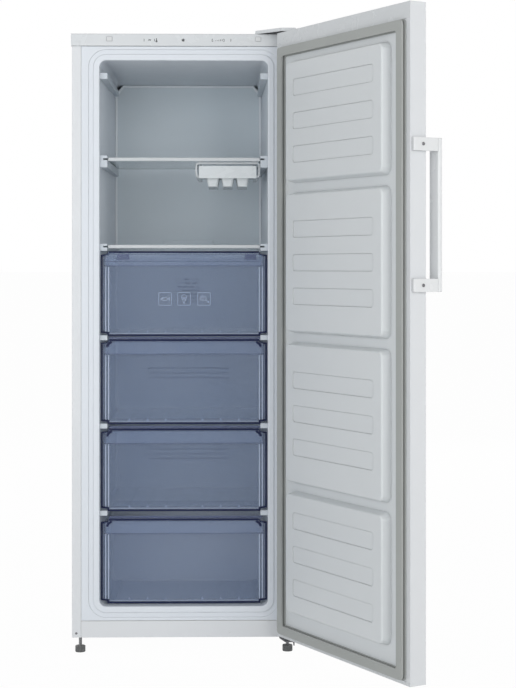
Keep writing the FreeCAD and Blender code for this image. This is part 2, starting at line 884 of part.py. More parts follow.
def roller_fork(side):
    """Bent steel fork under the machine room that holds one roller's axle."""
    body = new_body(f"roller_fork_{'left' if side < 0 else 'right'}")
    middle = f"{side} * ({half_width} - roller_from_side)"
    gap, low, high = "(roller_width / 2 + touch_gap * 2)", "roller_radius * 0.6", "cabinet_bottom"
    section = face(body, f"{body.Name}_section", "roller_back - roller_radius + roller_cheek")
    outline(section, (
        (f"{middle} - {gap} - roller_cheek", low), (f"{middle} - {gap}", low),
        (f"{middle} - {gap}", f"{high} - roller_cheek"), (f"{middle} + {gap}", f"{high} - roller_cheek"),
        (f"{middle} + {gap}", low), (f"{middle} + {gap} + roller_cheek", low),
        (f"{middle} + {gap} + roller_cheek", high), (f"{middle} - {gap} - roller_cheek", high),
    ))
    pad(body, section, "2 * roller_radius - 2 * roller_cheek", backwards=True)
    hole = profile(body, f"{body.Name}_hole", f"{middle} + roller_width")
    circle(hole, "roller_back", "roller_radius", "roller_axle_radius")
    pocket(body, hole, "2 * roller_width")
    return body


def roller_axle(side):
    """Headed pin through a fork and its roller."""
    body = new_body(f"roller_axle_{'left' if side < 0 else 'right'}")
    middle = f"{side} * ({half_width} - roller_from_side)"
    half = "(roller_width / 2 + touch_gap * 2 + roller_cheek)"
    shank = profile(body, f"{body.Name}_shank", f"{middle} - {half} - roller_cheek / 2")
    circle(shank, "roller_back", "roller_radius", "roller_axle_radius")
    pad(body, shank, f"2 * {half} + roller_cheek / 2")
    head = profile(body, f"{body.Name}_head", f"{middle} + {half}")
    circle(head, "roller_back", "roller_radius", "roller_axle_radius + roller_cheek")
    pad(body, head, "roller_cheek")
    return body


# ---- machine room


def compressor_base():
    """Steel floor of the machine room, folded up at the front and back."""
    body = new_body("compressor_base")
    section = profile(body, "base_section", f"-{inner_half}")
    front, back, low = "machine_front", "cabinet_depth - sheet_gauge", "cabinet_bottom"
    fold = f"{low} + 10 * base_plate"
    outline(section, (
        (front, low), (back, low), (back, fold), (f"{back} - base_plate", fold),
        (f"{back} - base_plate", f"{low} + base_plate"), (f"{front} + base_plate", f"{low} + base_plate"),
        (f"{front} + base_plate", fold), (front, fold),
    ))
    pad(body, section, f"2 * {inner_half}")
    return keep(stand(body))


def compressor():
    """Sealed steel shell with a welded seam, standing on its foot plate."""
    body = new_body("compressor")
    plate = plan(body, "compressor_plate", "0")
    half_across, half_back = "(mount_spread_across + mount_radius)", "(mount_spread_back + mount_radius)"
    rounded(plate, f"-{half_across}", half_across, f"-{half_back}", half_back, "mount_radius")
    pad(body, plate, "2 * base_plate")
    shell = plan(body, "compressor_shell", "base_plate")
    circle(shell, "0", "0", "compressor_radius")
    pad(body, shell, "compressor_height - base_plate")
    round_edges(body, "compressor_shoulder", lambda edge: lies_on_plane(edge, "z", "compressor_height"))
    seam = plan(body, "compressor_seam_ring", "compressor_height / 2")
    circle(seam, "0", "0", "compressor_radius + compressor_seam")
    pad(body, seam, "2 * compressor_seam")
    box = profile(body, "terminal_box", "-compressor_radius - 4 * compressor_seam")
    rounded(box, "-compressor_shoulder", "compressor_shoulder", "compressor_height / 5", "compressor_height / 2.2",
            "compressor_seam")
    pad(body, box, "compressor_radius")
    return keep(stand(body, "compressor_across", "compressor_back", "cabinet_bottom + base_plate + mount_height"))


def compressor_mounts():
    """Four rubber blocks between the base and the compressor's foot plate."""
    members = []
    for number, (side, end) in enumerate(((-1, -1), (1, -1), (1, 1), (-1, 1)), start=1):
        body = new_body(f"mount_{number}")
        section = face(body, f"mount_{number}_section", "0")
        waist = "mount_height / 2"
        outline(section, (
            ("0", "0"), ("mount_radius", "0"), ("mount_radius", f"{waist} - mount_height / 8"),
            ("mount_radius * 0.8", waist), ("mount_radius", f"{waist} + mount_height / 8"),
            ("mount_radius", "mount_height"), ("0", "mount_height"),
        ))
        revolve(body, section)
        bind(body, "Placement.Base.x", f"compressor_across + {side} * mount_spread_across")
        bind(body, "Placement.Base.y", f"compressor_back + {end} * mount_spread_back")
        members.append(body)
    return keep(stand(group("compressor_mounts", members), up="cabinet_bottom + base_plate"))


def drip_tray():
    """Open tray on the compressor that boils off the melted frost."""
    body = new_body("drip_tray")
    floor = "(cabinet_bottom + base_plate + mount_height + compressor_height + touch_gap)"

    def ring(name, up, inset):
        sketch = plan(body, name, up)
        across, back = f"(drip_tray_half_width - {inset})", f"(drip_tray_half_depth - {inset})"
        rounded(sketch, f"compressor_across - {across}", f"compressor_across + {across}",
                f"compressor_back - {back}", f"compressor_back + {back}", f"mount_radius - {inset}")
        return sketch

    pad(body, ring("drip_tray_outside", floor, "0 * drip_tray_wall"), "drip_tray_depth")
    pocket(body, ring("drip_tray_inside", f"{floor} + drip_tray_depth", "drip_tray_wall"),
           "drip_tray_depth - drip_tray_wall")
    return keep(stand(body))


def drain_tube():
    """Tube that leads melted frost from the evaporator space down to the drip tray."""
    body = new_body("drain_tube")
    floor = "(cabinet_bottom + base_plate + mount_height + compressor_height + touch_gap)"
    low = f"({floor} + drip_tray_depth / 2)"
    tube = plan(body, "drain_tube_section", low)
    circle(tube, "drain_across", "drain_back", "drain_radius")
    pad(body, tube, f"step_top + drain_wall - {low}")
    collar = plan(body, "drain_collar", "step_top")
    circle(collar, "drain_across", "drain_back", "drain_radius * 1.5")
    pad(body, collar, "drain_wall")
    bore = plan(body, "drain_bore", "step_top + 2 * drain_wall")
    circle(bore, "drain_across", "drain_back", "drain_radius - drain_wall")
    pocket(body, bore, "step_top")
    return keep(stand(body))


def spot(across, back, up):
    """A place in the cabinet, worked out now."""
    return FreeCAD.Vector(worth(across), worth(back), worth(up))


def copper_pipe(label, stub_back, stub_up, rise_across):
    """Pipe from the compressor's shell to the roof of the machine room."""
    start = "compressor_across + compressor_radius + compressor_seam + touch_gap"
    points = [spot(start, stub_back, stub_up), spot(rise_across, stub_back, stub_up),
              spot(rise_across, stub_back, "machine_top")]
    return bent_tube(label, points, worth("pipe_radius"), worth("pipe_radius * 5"))


def filter_drier():
    """Copper filter that hangs from the roof of the machine room."""
    body = new_body("filter_drier")
    section = face(body, "drier_section", "0")
    neck, top = "pipe_radius * 0.6", "machine_top"
    high, low = f"({top} - 2 * drier_radius)", f"({top} - 2 * drier_radius - drier_length)"
    outline(section, (
        ("0", f"{low} - drier_radius"), (neck, f"{low} - drier_radius"), ("drier_radius", low),
        ("drier_radius", high), (neck, f"{high} + drier_radius"), (neck, top), ("0", top),
    ))
    revolve(body, section)
    bind(body, "Placement.Base.x", f"{half_width} / 2")
    bind(body, "Placement.Base.y", "machine_front + 8 * drier_radius")
    return body


def condenser():
    """One long tube, wound to and fro between the foam and the steel back."""
    back = "cabinet_depth - 2 * sheet_gauge - condenser_tube / 2 - touch_gap / 2"
    side, points = 1, []
    for row in range(int(worth("condenser_rows"))):
        for reach in (-side, side):
            points.append(spot(f"{reach} * {inner_half} * 0.8", back, f"condenser_bottom + {row} * condenser_pitch"))
        side = -side
    return keep(stand(bent_tube("condenser_coil", points, worth("condenser_tube / 2"), worth("condenser_pitch * 0.3"))))


# ---- control box


def control_fascia():
    """Moulded box across the top front, open at the back, with two button holes and bosses inside."""
    body = new_body("control_fascia")
    wide, front = f"({half_width} + fascia_side)", "(-fascia_proud)"
    section = profile(body, "fascia_section", f"-{wide}")
    rectangle(section, front, "fascia_back", "fascia_bottom", "cabinet_top")
    pad(body, section, f"2 * {wide}")
    round_edges(body, "fascia_wall", lambda edge: runs_along(edge, "x") and lies_at(edge, y=front, z="cabinet_top"))
    hollow_face = face(body, "fascia_hollow", "fascia_back")
    rectangle(hollow_face, f"fascia_wall - {wide}", f"{wide} - fascia_wall",
              "fascia_bottom + fascia_wall", "cabinet_top - fascia_wall")
    pocket(body, hollow_face, "fascia_back + fascia_proud - fascia_wall", backwards=True)
    holes = face(body, "button_holes", front)
    for side in (-1, 1):
        across = f"{side} * button_across"
        half, tall = "(button_width / 2 + button_gap)", "(button_height / 2 + button_gap)"
        rounded(holes, f"{across} - {half}", f"{across} + {half}", f"button_up - {tall}", f"button_up + {tall}",
                "button_corner + button_gap")
    pocket(body, holes, "fascia_wall")
    bosses = face(body, "fascia_bosses", "board_back")
    for place in (-1, 0, 1):
        circle(bosses, f"{place} * boss_pitch", "button_up", "boss_radius")
    pad(body, bosses, "board_back + fascia_proud - fascia_wall / 2")
    return keep(stand(body))


def control_board():
    """Circuit board on the bosses, with a switch behind each button."""
    body = new_body("control_board")
    plate = face(body, "board_plate", "board_back")
    rectangle(plate, "-board_width / 2", "board_width / 2", "button_up - board_height / 2", "button_up + board_height / 2")
    pad(body, plate, "board_thickness", backwards=True)
    switches = face(body, "board_switches", "board_back")
    for side in (-1, 1):
        half, across = "switch_side / 2", f"{side} * button_across"
        rectangle(switches, f"{across} - {half}", f"{across} + {half}", f"button_up - {half}", f"button_up + {half}")
    pad(body, switches, "switch_height")
    return keep(stand(body))


def push_button(label, side):
    """Button cap with a flange behind the fascia and a stem towards its switch."""
    body = new_body(label)
    inside = "(fascia_wall - fascia_proud + button_gap)"
    cap = face(body, f"{label}_cap", inside)
    rounded(cap, "-button_width / 2", "button_width / 2", "-button_height / 2", "button_height / 2", "button_corner")
    pad(body, cap, f"{inside} + fascia_proud + button_proud")
    flange = face(body, f"{label}_flange", inside)
    half, tall = "(button_width / 2 + button_flange)", "(button_height / 2 + button_flange)"
    rounded(flange, f"-{half}", half, f"-{tall}", tall, "button_corner")
    pad(body, flange, "button_flange", backwards=True)
    stem = face(body, f"{label}_stem", inside)
    circle(stem, "0", "0", "button_stem_radius")
    pad(body, stem, f"board_back - switch_height - button_travel - button_gap - {inside}", backwards=True)
    round_edges(body, "button_corner / 3", lambda edge: lies_on_plane(edge, "y", "-fascia_proud - button_proud"),
                "Chamfer")
    return keep(stand(body, f"{side} * button_across", "0", "button_up"))


# ---- hinges


def hinge_arm_outline(sketch):
    """Plan of the top hinge's plate: broad on the cabinet and narrow over the pin."""
    pin, right = hinge_across, f"({half_width} - front_return / 6)"
    outline(sketch, (
        ("hinge_cover_left + front_return / 2", "hinge_cover_back - hinge_edge"),
        ("hinge_cover_left + front_return / 2", "foot_from_front / 2"),
        (f"{pin} - 4 * hinge_pin_radius", "-hinge_forward"),
        (f"{pin} - 4 * hinge_pin_radius", "-hinge_forward - hinge_edge"),
        (right, "-hinge_forward - hinge_edge"), (right, "hinge_cover_back - hinge_edge"),
    ))


hinge_screw_places = (
    ("hinge_cover_left + hinge_screw_left", "hinge_screw_back"),
    (f"{hinge_across} - hinge_screw_right", "hinge_screw_back"),
    (f"{hinge_across} - hinge_screw_middle", "hinge_screw_front"),
)


def top_hinge():
    """Steel plate screwed to the cabinet's top, with the upper pin under its front end."""
    body = new_body("top_hinge_bracket")
    plate = plan(body, "top_hinge_plate", "cabinet_top")
    hinge_arm_outline(plate)
    pad(body, plate, "hinge_plate")
    holes = plan(body, "top_hinge_holes", "cabinet_top + hinge_plate")
    for across, back in hinge_screw_places:
        circle(holes, across, back, "hinge_screw_radius")
    pocket(body, holes, "hinge_plate")
    pin = plan(body, "top_hinge_pin", "cabinet_top")
    circle(pin, hinge_across, "-hinge_forward", "hinge_pin_radius")
    pad(body, pin, "cabinet_top - door_top + hinge_pin_reach", backwards=True)
    return keep(stand(body))


def hinge_screws():
    """Pan-head screws that hold the top hinge's plate."""
    members = []
    for number, (across, back) in enumerate(hinge_screw_places, start=1):
        body = new_body(f"hinge_screw_{number}")
        head = plan(body, f"hinge_screw_{number}_head", "cabinet_top + hinge_plate")
        circle(head, across, back, "hinge_screw_head")
        pad(body, head, "hinge_screw_rise")
        round_edges(body, "hinge_screw_rise / 2",
                    lambda edge: lies_on_plane(edge, "z", "cabinet_top + hinge_plate + hinge_screw_rise"),
                    "Chamfer")
        shank = plan(body, f"hinge_screw_{number}_shank", "cabinet_top + hinge_plate")
        circle(shank, across, back, "hinge_screw_radius")
        pad(body, shank, "hinge_plate", backwards=True)
        members.append(body)
    return keep(stand(group("hinge_screws", members)))


def hinge_cover():
    """Moulded cap over the top hinge, cut off slantwise towards the pin."""
    body = new_body("top_hinge_cover")

    def sheet(name, up, inset):
        sketch = plan(body, name, up)
        left, right = f"hinge_cover_left + {inset}", f"{half_width} - hinge_cover_edge - {inset}"
        front, back = f"{inset} + {door_front} + hinge_cover_edge", f"hinge_cover_back - {inset}"
        outline(sketch, (
            (left, back), (left, f"hinge_cover_front + {inset} / 2"),
            (f"{hinge_across} - hinge_cover_nose + {inset} / 2", front),
            (right, front), (right, back),
        ))
        return sketch

    pad(body, sheet("hinge_cover_outside", "cabinet_top", "0 * fascia_wall"), "hinge_cover_height")
    pocket(body, sheet("hinge_cover_inside", "cabinet_top", "fascia_wall"), "hinge_cover_height - fascia_wall",
           backwards=True)
    round_edges(body, "fascia_wall * 0.8", lambda edge: lies_on_plane(edge, "z", "cabinet_top + hinge_cover_height"))
    return keep(stand(body))


def bottom_hinge():
    """Steel plate under the cabinet with the lower pin, its collar and a hole round the foot's stem."""
    body = new_body("bottom_hinge_bracket")
    low = "(cabinet_bottom - hinge_plate)"
    left, right = f"{hinge_across} - lower_hinge_left", f"{half_width} - front_return / 6"
    plate = plan(body, "bottom_hinge_plate", low)
    outline(plate, (
        (left, "lower_hinge_back"), (left, "-lower_hinge_front"),
        (f"{hinge_across} - lower_hinge_nose", "-hinge_forward - hinge_edge"),
        (right, "-hinge_forward - hinge_edge"), (right, "lower_hinge_back"),
    ))
    pad(body, plate, "hinge_plate")
    lip = profile(body, "bottom_hinge_lip", f"{right} - hinge_plate")
    rectangle(lip, "-hinge_forward - hinge_edge", "lower_hinge_back", f"{low} - 3 * hinge_plate", low)
    pad(body, lip, "hinge_plate")
    hole = plan(body, "bottom_hinge_hole", "cabinet_bottom")
    circle(hole, foot_across, "foot_from_front", "foot_stem_radius + foot_hole_gap")
    pocket(body, hole, "hinge_plate")
    pin = plan(body, "bottom_hinge_pin", "cabinet_bottom")
    circle(pin, hinge_across, "-hinge_forward", "hinge_pin_radius")
    pad(body, pin, "door_bottom - cabinet_bottom + hinge_pin_reach")
    collar = plan(body, "bottom_hinge_collar", "cabinet_bottom")
    circle(collar, hinge_across, "-hinge_forward", "hinge_pin_radius + hinge_collar")
    pad(body, collar, "door_bottom - bush_flange - touch_gap - cabinet_bottom")
    return keep(stand(body))


def hinge_bush(label, barrel_low, flange_low):
    """Plastic bush with a flange, pressed into the door's end cap."""
    body = new_body(label)
    barrel = plan(body, f"{label}_barrel", barrel_low)
    circle(barrel, hinge_across, "-hinge_forward", "hinge_pin_radius + running_gap + bush_wall")
    circle(barrel, hinge_across, "-hinge_forward", "hinge_pin_radius + running_gap")
    pad(body, barrel, "bush_length")
    flange = plan(body, f"{label}_flange", flange_low)
    circle(flange, hinge_across, "-hinge_forward", "hinge_pin_radius + bush_wall + bush_flange_wall")
    circle(flange, hinge_across, "-hinge_forward", "hinge_pin_radius + running_gap")
    pad(body, flange, "bush_flange")
    return body


# ---- door


liner_low = "(door_bottom + door_bottom_band)"
liner_high = "(door_top - door_top_band)"


def door_panel():
    """Steel skin of the door: front, both sides and narrow returns behind."""
    body = new_body("door_outer_panel")
    section = plan(body, "door_section", "door_bottom")
    front, back = door_front, door_back
    inner = f"({half_width} - sheet_gauge)"
    lip = f"({half_width} - door_return)"
    outline(section, (
        (f"-{half_width}", front), (half_width, front), (half_width, back), (lip, back),
        (lip, f"{back} - sheet_gauge"), (inner, f"{back} - sheet_gauge"), (inner, f"{front} + sheet_gauge"),
        (f"-{inner}", f"{front} + sheet_gauge"), (f"-{inner}", f"{back} - sheet_gauge"),
        (f"-{lip}", f"{back} - sheet_gauge"), (f"-{lip}", back), (f"-{half_width}", back),
    ))
    pad(body, section, "door_top - door_bottom")
    ends = face(body, "door_ends", back)
    rectangle(ends, f"-{inner}", inner, liner_high, "door_top + seam")
    rectangle(ends, f"-{inner}", inner, "door_bottom - seam", liner_low)
    pocket(body, ends, "sheet_gauge", backwards=True)
    round_edges(body, "2 * sheet_gauge", lambda edge: runs_along(edge, "z") and lies_on_plane(edge, "y", front)
                and abs(abs(edge.BoundBox.Center.x) - worth(half_width)) < 0.01)
    return keep(hang(body))


def door_cap(label, low, high, outward):
    """Moulded end cap, hollow towards the foam, with a boss for the hinge bush."""
    body = new_body(label)
    inner = f"({half_width} - sheet_gauge)"
    block = plan(body, f"{label}_block", low)
    rectangle(block, f"-{inner}", inner, f"{door_front} + sheet_gauge", door_back)
    pad(body, block, f"{high} - {low}")
    inside = plan(body, f"{label}_hollow", low if outward > 0 else high)
    rectangle(inside, f"cap_wall - {inner}", f"{inner} - cap_wall",
              f"{door_front} + sheet_gauge + cap_wall", f"{door_back} - cap_wall")
    pocket(body, inside, f"{high} - {low} - cap_wall", backwards=outward > 0)
    boss = plan(body, f"{label}_boss", low)
    circle(boss, hinge_across, "-hinge_forward", "hinge_pin_radius + 2 * bush_wall + cap_wall")
    pad(body, boss, f"{high} - {low}")
    bore = plan(body, f"{label}_bore", f"{high}")
    circle(bore, hinge_across, "-hinge_forward", "hinge_pin_radius + running_gap + bush_wall")
    pocket(body, bore, f"{high} - {low}")
    return keep(hang(body))


def door_pad(label, number, inset):
    """One raised field of the door's inner face, with sloping sides."""
    body = new_body(label)
    sides = f"({half_width} - pad_inset - {inset})"
    low, high = f"pad_{number}_bottom + {inset}", f"pad_{number}_top - {inset}"
    base = face(body, f"{label}_base", f"{door_back} - {inset}")
    rounded(base, f"-{sides}", sides, low, high, f"pad_corner - {inset}")
    raised = pad(body, base, "pad_rise", backwards=True)
    bind(raised, "TaperAngle", "-atan(pad_draft / pad_rise)")
    if inset == "door_liner_wall":
        return body
    round_edges(body, "pad_round", lambda edge: lies_on_plane(edge, "y", f"{door_back} + pad_rise"))
    recess = face(body, f"{label}_recess", f"{door_back} + pad_rise")
    first = f"(pad_{number}_top + pad_{number}_bottom) / 2 - panel_pitch * (panel_count - 1) / 2"
    rounded(recess, f"panel_inset - {sides}", f"{sides} - panel_inset",
            f"{first} - panel_height / 2", f"{first} + panel_height / 2", "panel_corner")
    sunk = pocket(body, recess, "panel_sink", backwards=True)
    row_of(body, sunk, recess, "V_Axis", "panel_pitch", "panel_count")
    return body


def door_core():
    """The door's foam and its formed inner liner, which share the raised fields."""
    plate = new_body("door_liner_plate")
    sheet = face(plate, "door_liner_sheet", f"{door_back} - door_liner_wall")
    side = f"({half_width} - door_return - seam)"
    rectangle(sheet, f"-{side}", side, f"{liner_low} + seam", f"{liner_high} - seam")
    pad(plate, sheet, "door_liner_wall", backwards=True)
    block = new_body("door_foam_block")
    section = plan(block, "door_foam_section", liner_low)
    rectangle(section, f"-{inner_half}", inner_half, f"{door_front} + sheet_gauge", f"{door_back} - door_liner_wall")
    pad(block, section, f"{liner_high} - {liner_low}")
    seat = plan(block, "lower_bush_seat", liner_low)
    circle(seat, hinge_across, "-hinge_forward", "hinge_pin_radius + running_gap + bush_wall + touch_gap")
    pocket(block, seat, f"door_bottom + bush_length + touch_gap - {liner_low}", backwards=True)
    outside = [door_pad(f"pad_{number}_outside", number, "0") for number in range(1, 5)]
    inside = [door_pad(f"pad_{number}_inside", number, "door_liner_wall") for number in range(1, 5)]
    keep(hang(fuse("door_foam", [block] + inside)))
    hollow_pads = fuse("door_pads_inside", inside)
    keep(hang(cut("door_liner", fuse("door_liner_blank", [plate] + outside), hollow_pads)))


def door_gasket():
    """Magnetic seal: a broad base in the liner, a narrow neck and the sealing face."""
    body = new_body("door_gasket")
    side = f"({half_width} - gasket_inset)"
    low, high = f"({liner_low} + 2 * seam)", f"({liner_high} - 2 * seam)"

    def ring(name, back, depth, inset):
        sketch = face(body, name, back)
        rounded(sketch, f"{inset} - {side}", f"{side} - {inset}", f"{low} + {inset}", f"{high} - {inset}",
                "gasket_corner")
        width = f"(gasket_width - {inset})"
        rounded(sketch, f"{width} - {side}", f"{side} - {width}", f"{low} + {width}", f"{high} - {width}",
                "gasket_inner_corner")
        pad(body, sketch, depth, backwards=True)

    whole = "(door_gap - gasket_free)"
    ring("gasket_base_ring", door_back, "gasket_base", "0")
    ring("gasket_neck_ring", f"{door_back} + gasket_base", f"{whole} - gasket_base - gasket_face", "gasket_neck")
    ring("gasket_face_ring", f"{door_back} + {whole} - gasket_face", "gasket_face", "gasket_face_inset")
    return keep(hang(body))


# ---- handle


handle_outside = f"({half_width} + handle_foot_width)"
handle_bar_back = f"({door_front} - handle_reach + handle_bar_depth)"


def handle_bar():
    """Flat upright bar that stands off the door's front."""
    body = new_body("handle_bar")
    section = plan(body, "handle_bar_section", "handle_bottom")
    rounded(section, f"-{handle_outside}", f"handle_bar_width - {handle_outside}",
            f"{handle_bar_back} - handle_bar_depth", handle_bar_back, "handle_round * 1.5")
    pad(body, section, "handle_top - handle_bottom")
    round_edges(body, "handle_round / 2", lambda edge: lies_on_plane(edge, "z", "handle_top")
                or lies_on_plane(edge, "z", "handle_bottom"), "Chamfer")
    return keep(hang(body))


handle_screw_back = f"({door_back} - handle_foot_back - handle_screw_back)"


def handle_foot(label, low):
    """Arm that carries one end of the bar from the door's side."""
    body = new_body(label)
    section = plan(body, f"{label}_section", low)
    rounded(section, f"-{handle_outside}", f"-{half_width}", handle_bar_back, f"{door_back} - handle_foot_back",
            "handle_round")
    pad(body, section, "handle_foot_height")
    hole = profile(body, f"{label}_hole", f"seam - {half_width}")
    circle(hole, handle_screw_back, f"{low} + handle_foot_height / 2", "handle_screw_radius")
    pocket(body, hole, "handle_foot_width + 2 * seam")
    return body


def handle_screws():
    """Screws through the handle's arms."""
    members = []
    for name, low in (("upper", "(handle_top - handle_foot_height)"), ("lower", "handle_bottom")):
        body = new_body(f"handle_screw_{name}")
        shank = profile(body, f"{name}_shank", f"-{handle_outside}")
        circle(shank, handle_screw_back, f"{low} + handle_foot_height / 2", "handle_screw_radius")
        pad(body, shank, "handle_foot_width")
        head = profile(body, f"{name}_head", f"-{handle_outside}")
        circle(head, handle_screw_back, f"{low} + handle_foot_height / 2", "handle_screw_head")
        pad(body, head, "handle_screw_rise", backwards=True)
        round_edges(body, "handle_screw_rise / 2",
                    lambda edge: lies_on_plane(edge, "x", f"-{handle_outside} - handle_screw_rise"), "Chamfer")
        members.append(body)
    return keep(hang(group("handle_screws", members)))


def mains_inlet():
    """Moulded box at the back of the machine room with a round entry for a mains lead."""
    body = new_body("mains_inlet")
    low, back = "cabinet_bottom + base_plate", "cabinet_depth - sheet_gauge - base_plate - touch_gap"
    middle = f"({half_width} * 0.7)"
    block = plan(body, "inlet_block", low)
    rounded(block, f"{middle} - 2 * drier_radius", f"{middle} + 2 * drier_radius",
            f"{back} - 3 * drier_radius", back, "mount_radius / 4")
    pad(body, block, "4 * drier_radius")
    entry = face(body, "inlet_entry", f"{back} + base_plate")
    circle(entry, middle, f"{low} + 2.6 * drier_radius", "drier_radius * 0.9")
    pad(body, entry, "2 * base_plate")
    bore = face(body, "inlet_bore", f"{back} + 2 * base_plate")
    circle(bore, middle, f"{low} + 2.6 * drier_radius", "drier_radius / 2")
    pocket(body, bore, "3 * drier_radius", backwards=True)
    return keep(stand(body))


# ---- evaporator space


cover_back = "(cavity_depth - touch_gap)"
cover_low = "(step_top + cover_fit)"
cover_high = "(opening_top - ceiling_draft - cover_fit)"
coil_front = "(cavity_depth - touch_gap - coil_depth)"


def evaporator_cover():
    """Moulded cover across the cavity's back: cut corners, a raised duct, vents and the fan's shroud."""
    body = new_body("evaporator_cover")
    side = f"({wall_half('cavity_depth')} - cover_side)"

    def shape(name, back, inset):
        sketch = face(body, name, back)
        low, high, half = f"{cover_low} + {inset}", f"{cover_high} - {inset}", f"({side} - {inset})"
        outline(sketch, (
            (f"-{half}", low), (half, low), (half, f"{high} - cover_chamfer_up"),
            (f"{half} - cover_chamfer_across", high), (f"cover_chamfer_across - {half}", high),
            (f"-{half}", f"{high} - cover_chamfer_up"),
        ))
        return sketch

    pad(body, shape("cover_outside", "cover_front", "0 * cover_wall"), f"{cover_back} - cover_front", backwards=True)
    pocket(body, shape("cover_inside", cover_back, "cover_wall"), f"{cover_back} - cover_front - cover_wall",
           backwards=True)
    round_edges(body, "cover_wall * 0.8", lambda edge: lies_on_plane(edge, "y", "cover_front"))
    duct = face(body, "duct", "cover_front")
    outline(duct, (
        ("-duct_half_width", "duct_bottom"), ("duct_half_width", "duct_bottom"),
        ("duct_half_width - duct_slope", "duct_top"), ("duct_slope - duct_half_width", "duct_top"),
    ))
    pad(body, duct, "duct_proud")
    inside = face(body, "duct_inside", "cover_front + cover_wall")
    outline(inside, (
        ("cover_wall - duct_half_width", "duct_bottom + cover_wall"),
        ("duct_half_width - cover_wall", "duct_bottom + cover_wall"),
        ("duct_half_width - duct_slope - cover_wall", "duct_top - cover_wall"),
        ("duct_slope + cover_wall - duct_half_width", "duct_top - cover_wall"),
    ))
    pocket(body, inside, "duct_proud", backwards=True)
    ring = face(body, "fan_shroud", "cover_front + cover_wall")
    circle(ring, "0", "fan_up", "fan_radius + shroud_gap + cover_wall")
    circle(ring, "0", "fan_up", "fan_radius + shroud_gap")
    pad(body, ring, "shroud_back - cover_front - cover_wall", backwards=True)
    slot = face(body, "fan_grille", "cover_front")
    reach, first = "(fan_radius * 0.75)", "(fan_up - grille_slot_pitch * (grille_slots - 1) / 2)"
    rounded(slot, f"-{reach}", reach, f"{first} - grille_slot_height / 2", f"{first} + grille_slot_height / 2",
            "grille_slot_height * 0.45")
    row_of(body, pocket(body, slot, "cover_wall"), slot, "V_Axis", "grille_slot_pitch", "grille_slots")
    drain = plan(body, "cover_drain", f"{cover_low} + 2 * cover_wall")
    circle(drain, "drain_across", "drain_back", "drain_radius * 1.5 + touch_gap")
    pocket(body, drain, "3 * cover_wall")
    for name, low in (("upper_vent", "vent_bottom"), ("lower_vent", "vent_bottom - vent_drop")):
        vent = face(body, name, "cover_front")
        rounded(vent, "-vent_half_width", "vent_half_width", low, f"{low} + grille_slot_height",
                "grille_slot_height * 0.45")
        row_of(body, pocket(body, vent, "cover_wall"), vent, "V_Axis", "vent_pitch", "vent_rows")
    return keep(stand(body))


def evaporator():
    """Finned coil: thin plates on one tube, with an end plate at each side."""
    body = new_body("coil_fins")
    fin = profile(body, "coil_fin", "-fin_pitch * (fin_count - 1) / 2")
    rectangle(fin, coil_front, f"{cover_back} - touch_gap * 10", "coil_bottom", "coil_bottom + coil_height")
    row_of(body, pad(body, fin, "fin_wall"), fin, "N_Axis", "fin_pitch", "fin_count")
    members = [body]
    for side in (-1, 1):
        plate = new_body(f"coil_end_{'left' if side < 0 else 'right'}")
        edge = profile(plate, f"{plate.Name}_edge", f"{side} * (coil_half_width + fin_wall)")
        rectangle(edge, coil_front, cover_back, "coil_bottom - 2 * heater_drop", "coil_bottom + coil_height")
        pad(plate, edge, "2 * fin_wall", backwards=side > 0)
        members.append(plate)
    middle = f"{coil_front} + coil_depth / 2"
    spacing = "coil_height / coil_rows"
    side, points = -1, []
    for row in range(int(worth("coil_rows"))):
        for reach in (side, -side):
            points.append(spot(f"{reach} * (coil_half_width + coil_tube_radius * 6)", middle,
                               f"coil_bottom + {spacing} * ({row} + 0.5)"))
        side = -side
    members.append(bent_tube("coil_tube", points, worth("coil_tube_radius"), worth("coil_tube_radius * 3")))
    whole = fuse("coil", members)
    bore = document.addObject("Part::Cylinder", "heater_bore")
    bind(bore, "Radius", "heater_radius + running_gap")
    bind(bore, "Height", "2 * coil_half_width + 20 * fin_wall")
    bore.Placement.Rotation = FreeCAD.Rotation(FreeCAD.Vector(0, 1, 0), 90)
    bind(bore, "Placement.Base.x", "-coil_half_width - 10 * fin_wall")
    bind(bore, "Placement.Base.y", middle)
    bind(bore, "Placement.Base.z", "coil_bottom - heater_drop")
    return keep(stand(cut("evaporator", whole, bore)))


def defrost_heater():
    """Straight heating rod under the coil, carried by the coil's end plates."""
    body = new_body("defrost_heater")
    rod = profile(body, "heater_rod", "-coil_half_width - 5 * heater_radius")
    circle(rod, f"{coil_front} + coil_depth / 2", "coil_bottom - heater_drop", "heater_radius")
    pad(body, rod, "2 * coil_half_width + 10 * heater_radius")
    return keep(stand(body))


def fan_motor():
    """Fan motor with its shaft, held on the shroud by three arms."""
    body = new_body("fan_motor")
    can = face(body, "motor_can", "motor_front")
    circle(can, "0", "0", "motor_radius")
    pad(body, can, "motor_depth", backwards=True)
    shaft = face(body, "motor_shaft", "motor_front")
    circle(shaft, "0", "0", "fan_shaft_radius")
    pad(body, shaft, "motor_front - fan_front")
    arm = face(body, "motor_arm", "shroud_back")
    rectangle(arm, "-motor_arm_width / 2", "motor_arm_width / 2", "motor_radius / 2",
              "fan_radius + shroud_gap + cover_wall / 2")
    ring_of(body, pad(body, arm, "motor_arm_depth", backwards=True), can, "N_Axis", "motor_arms")
    return keep(stand(body, up="fan_up"))


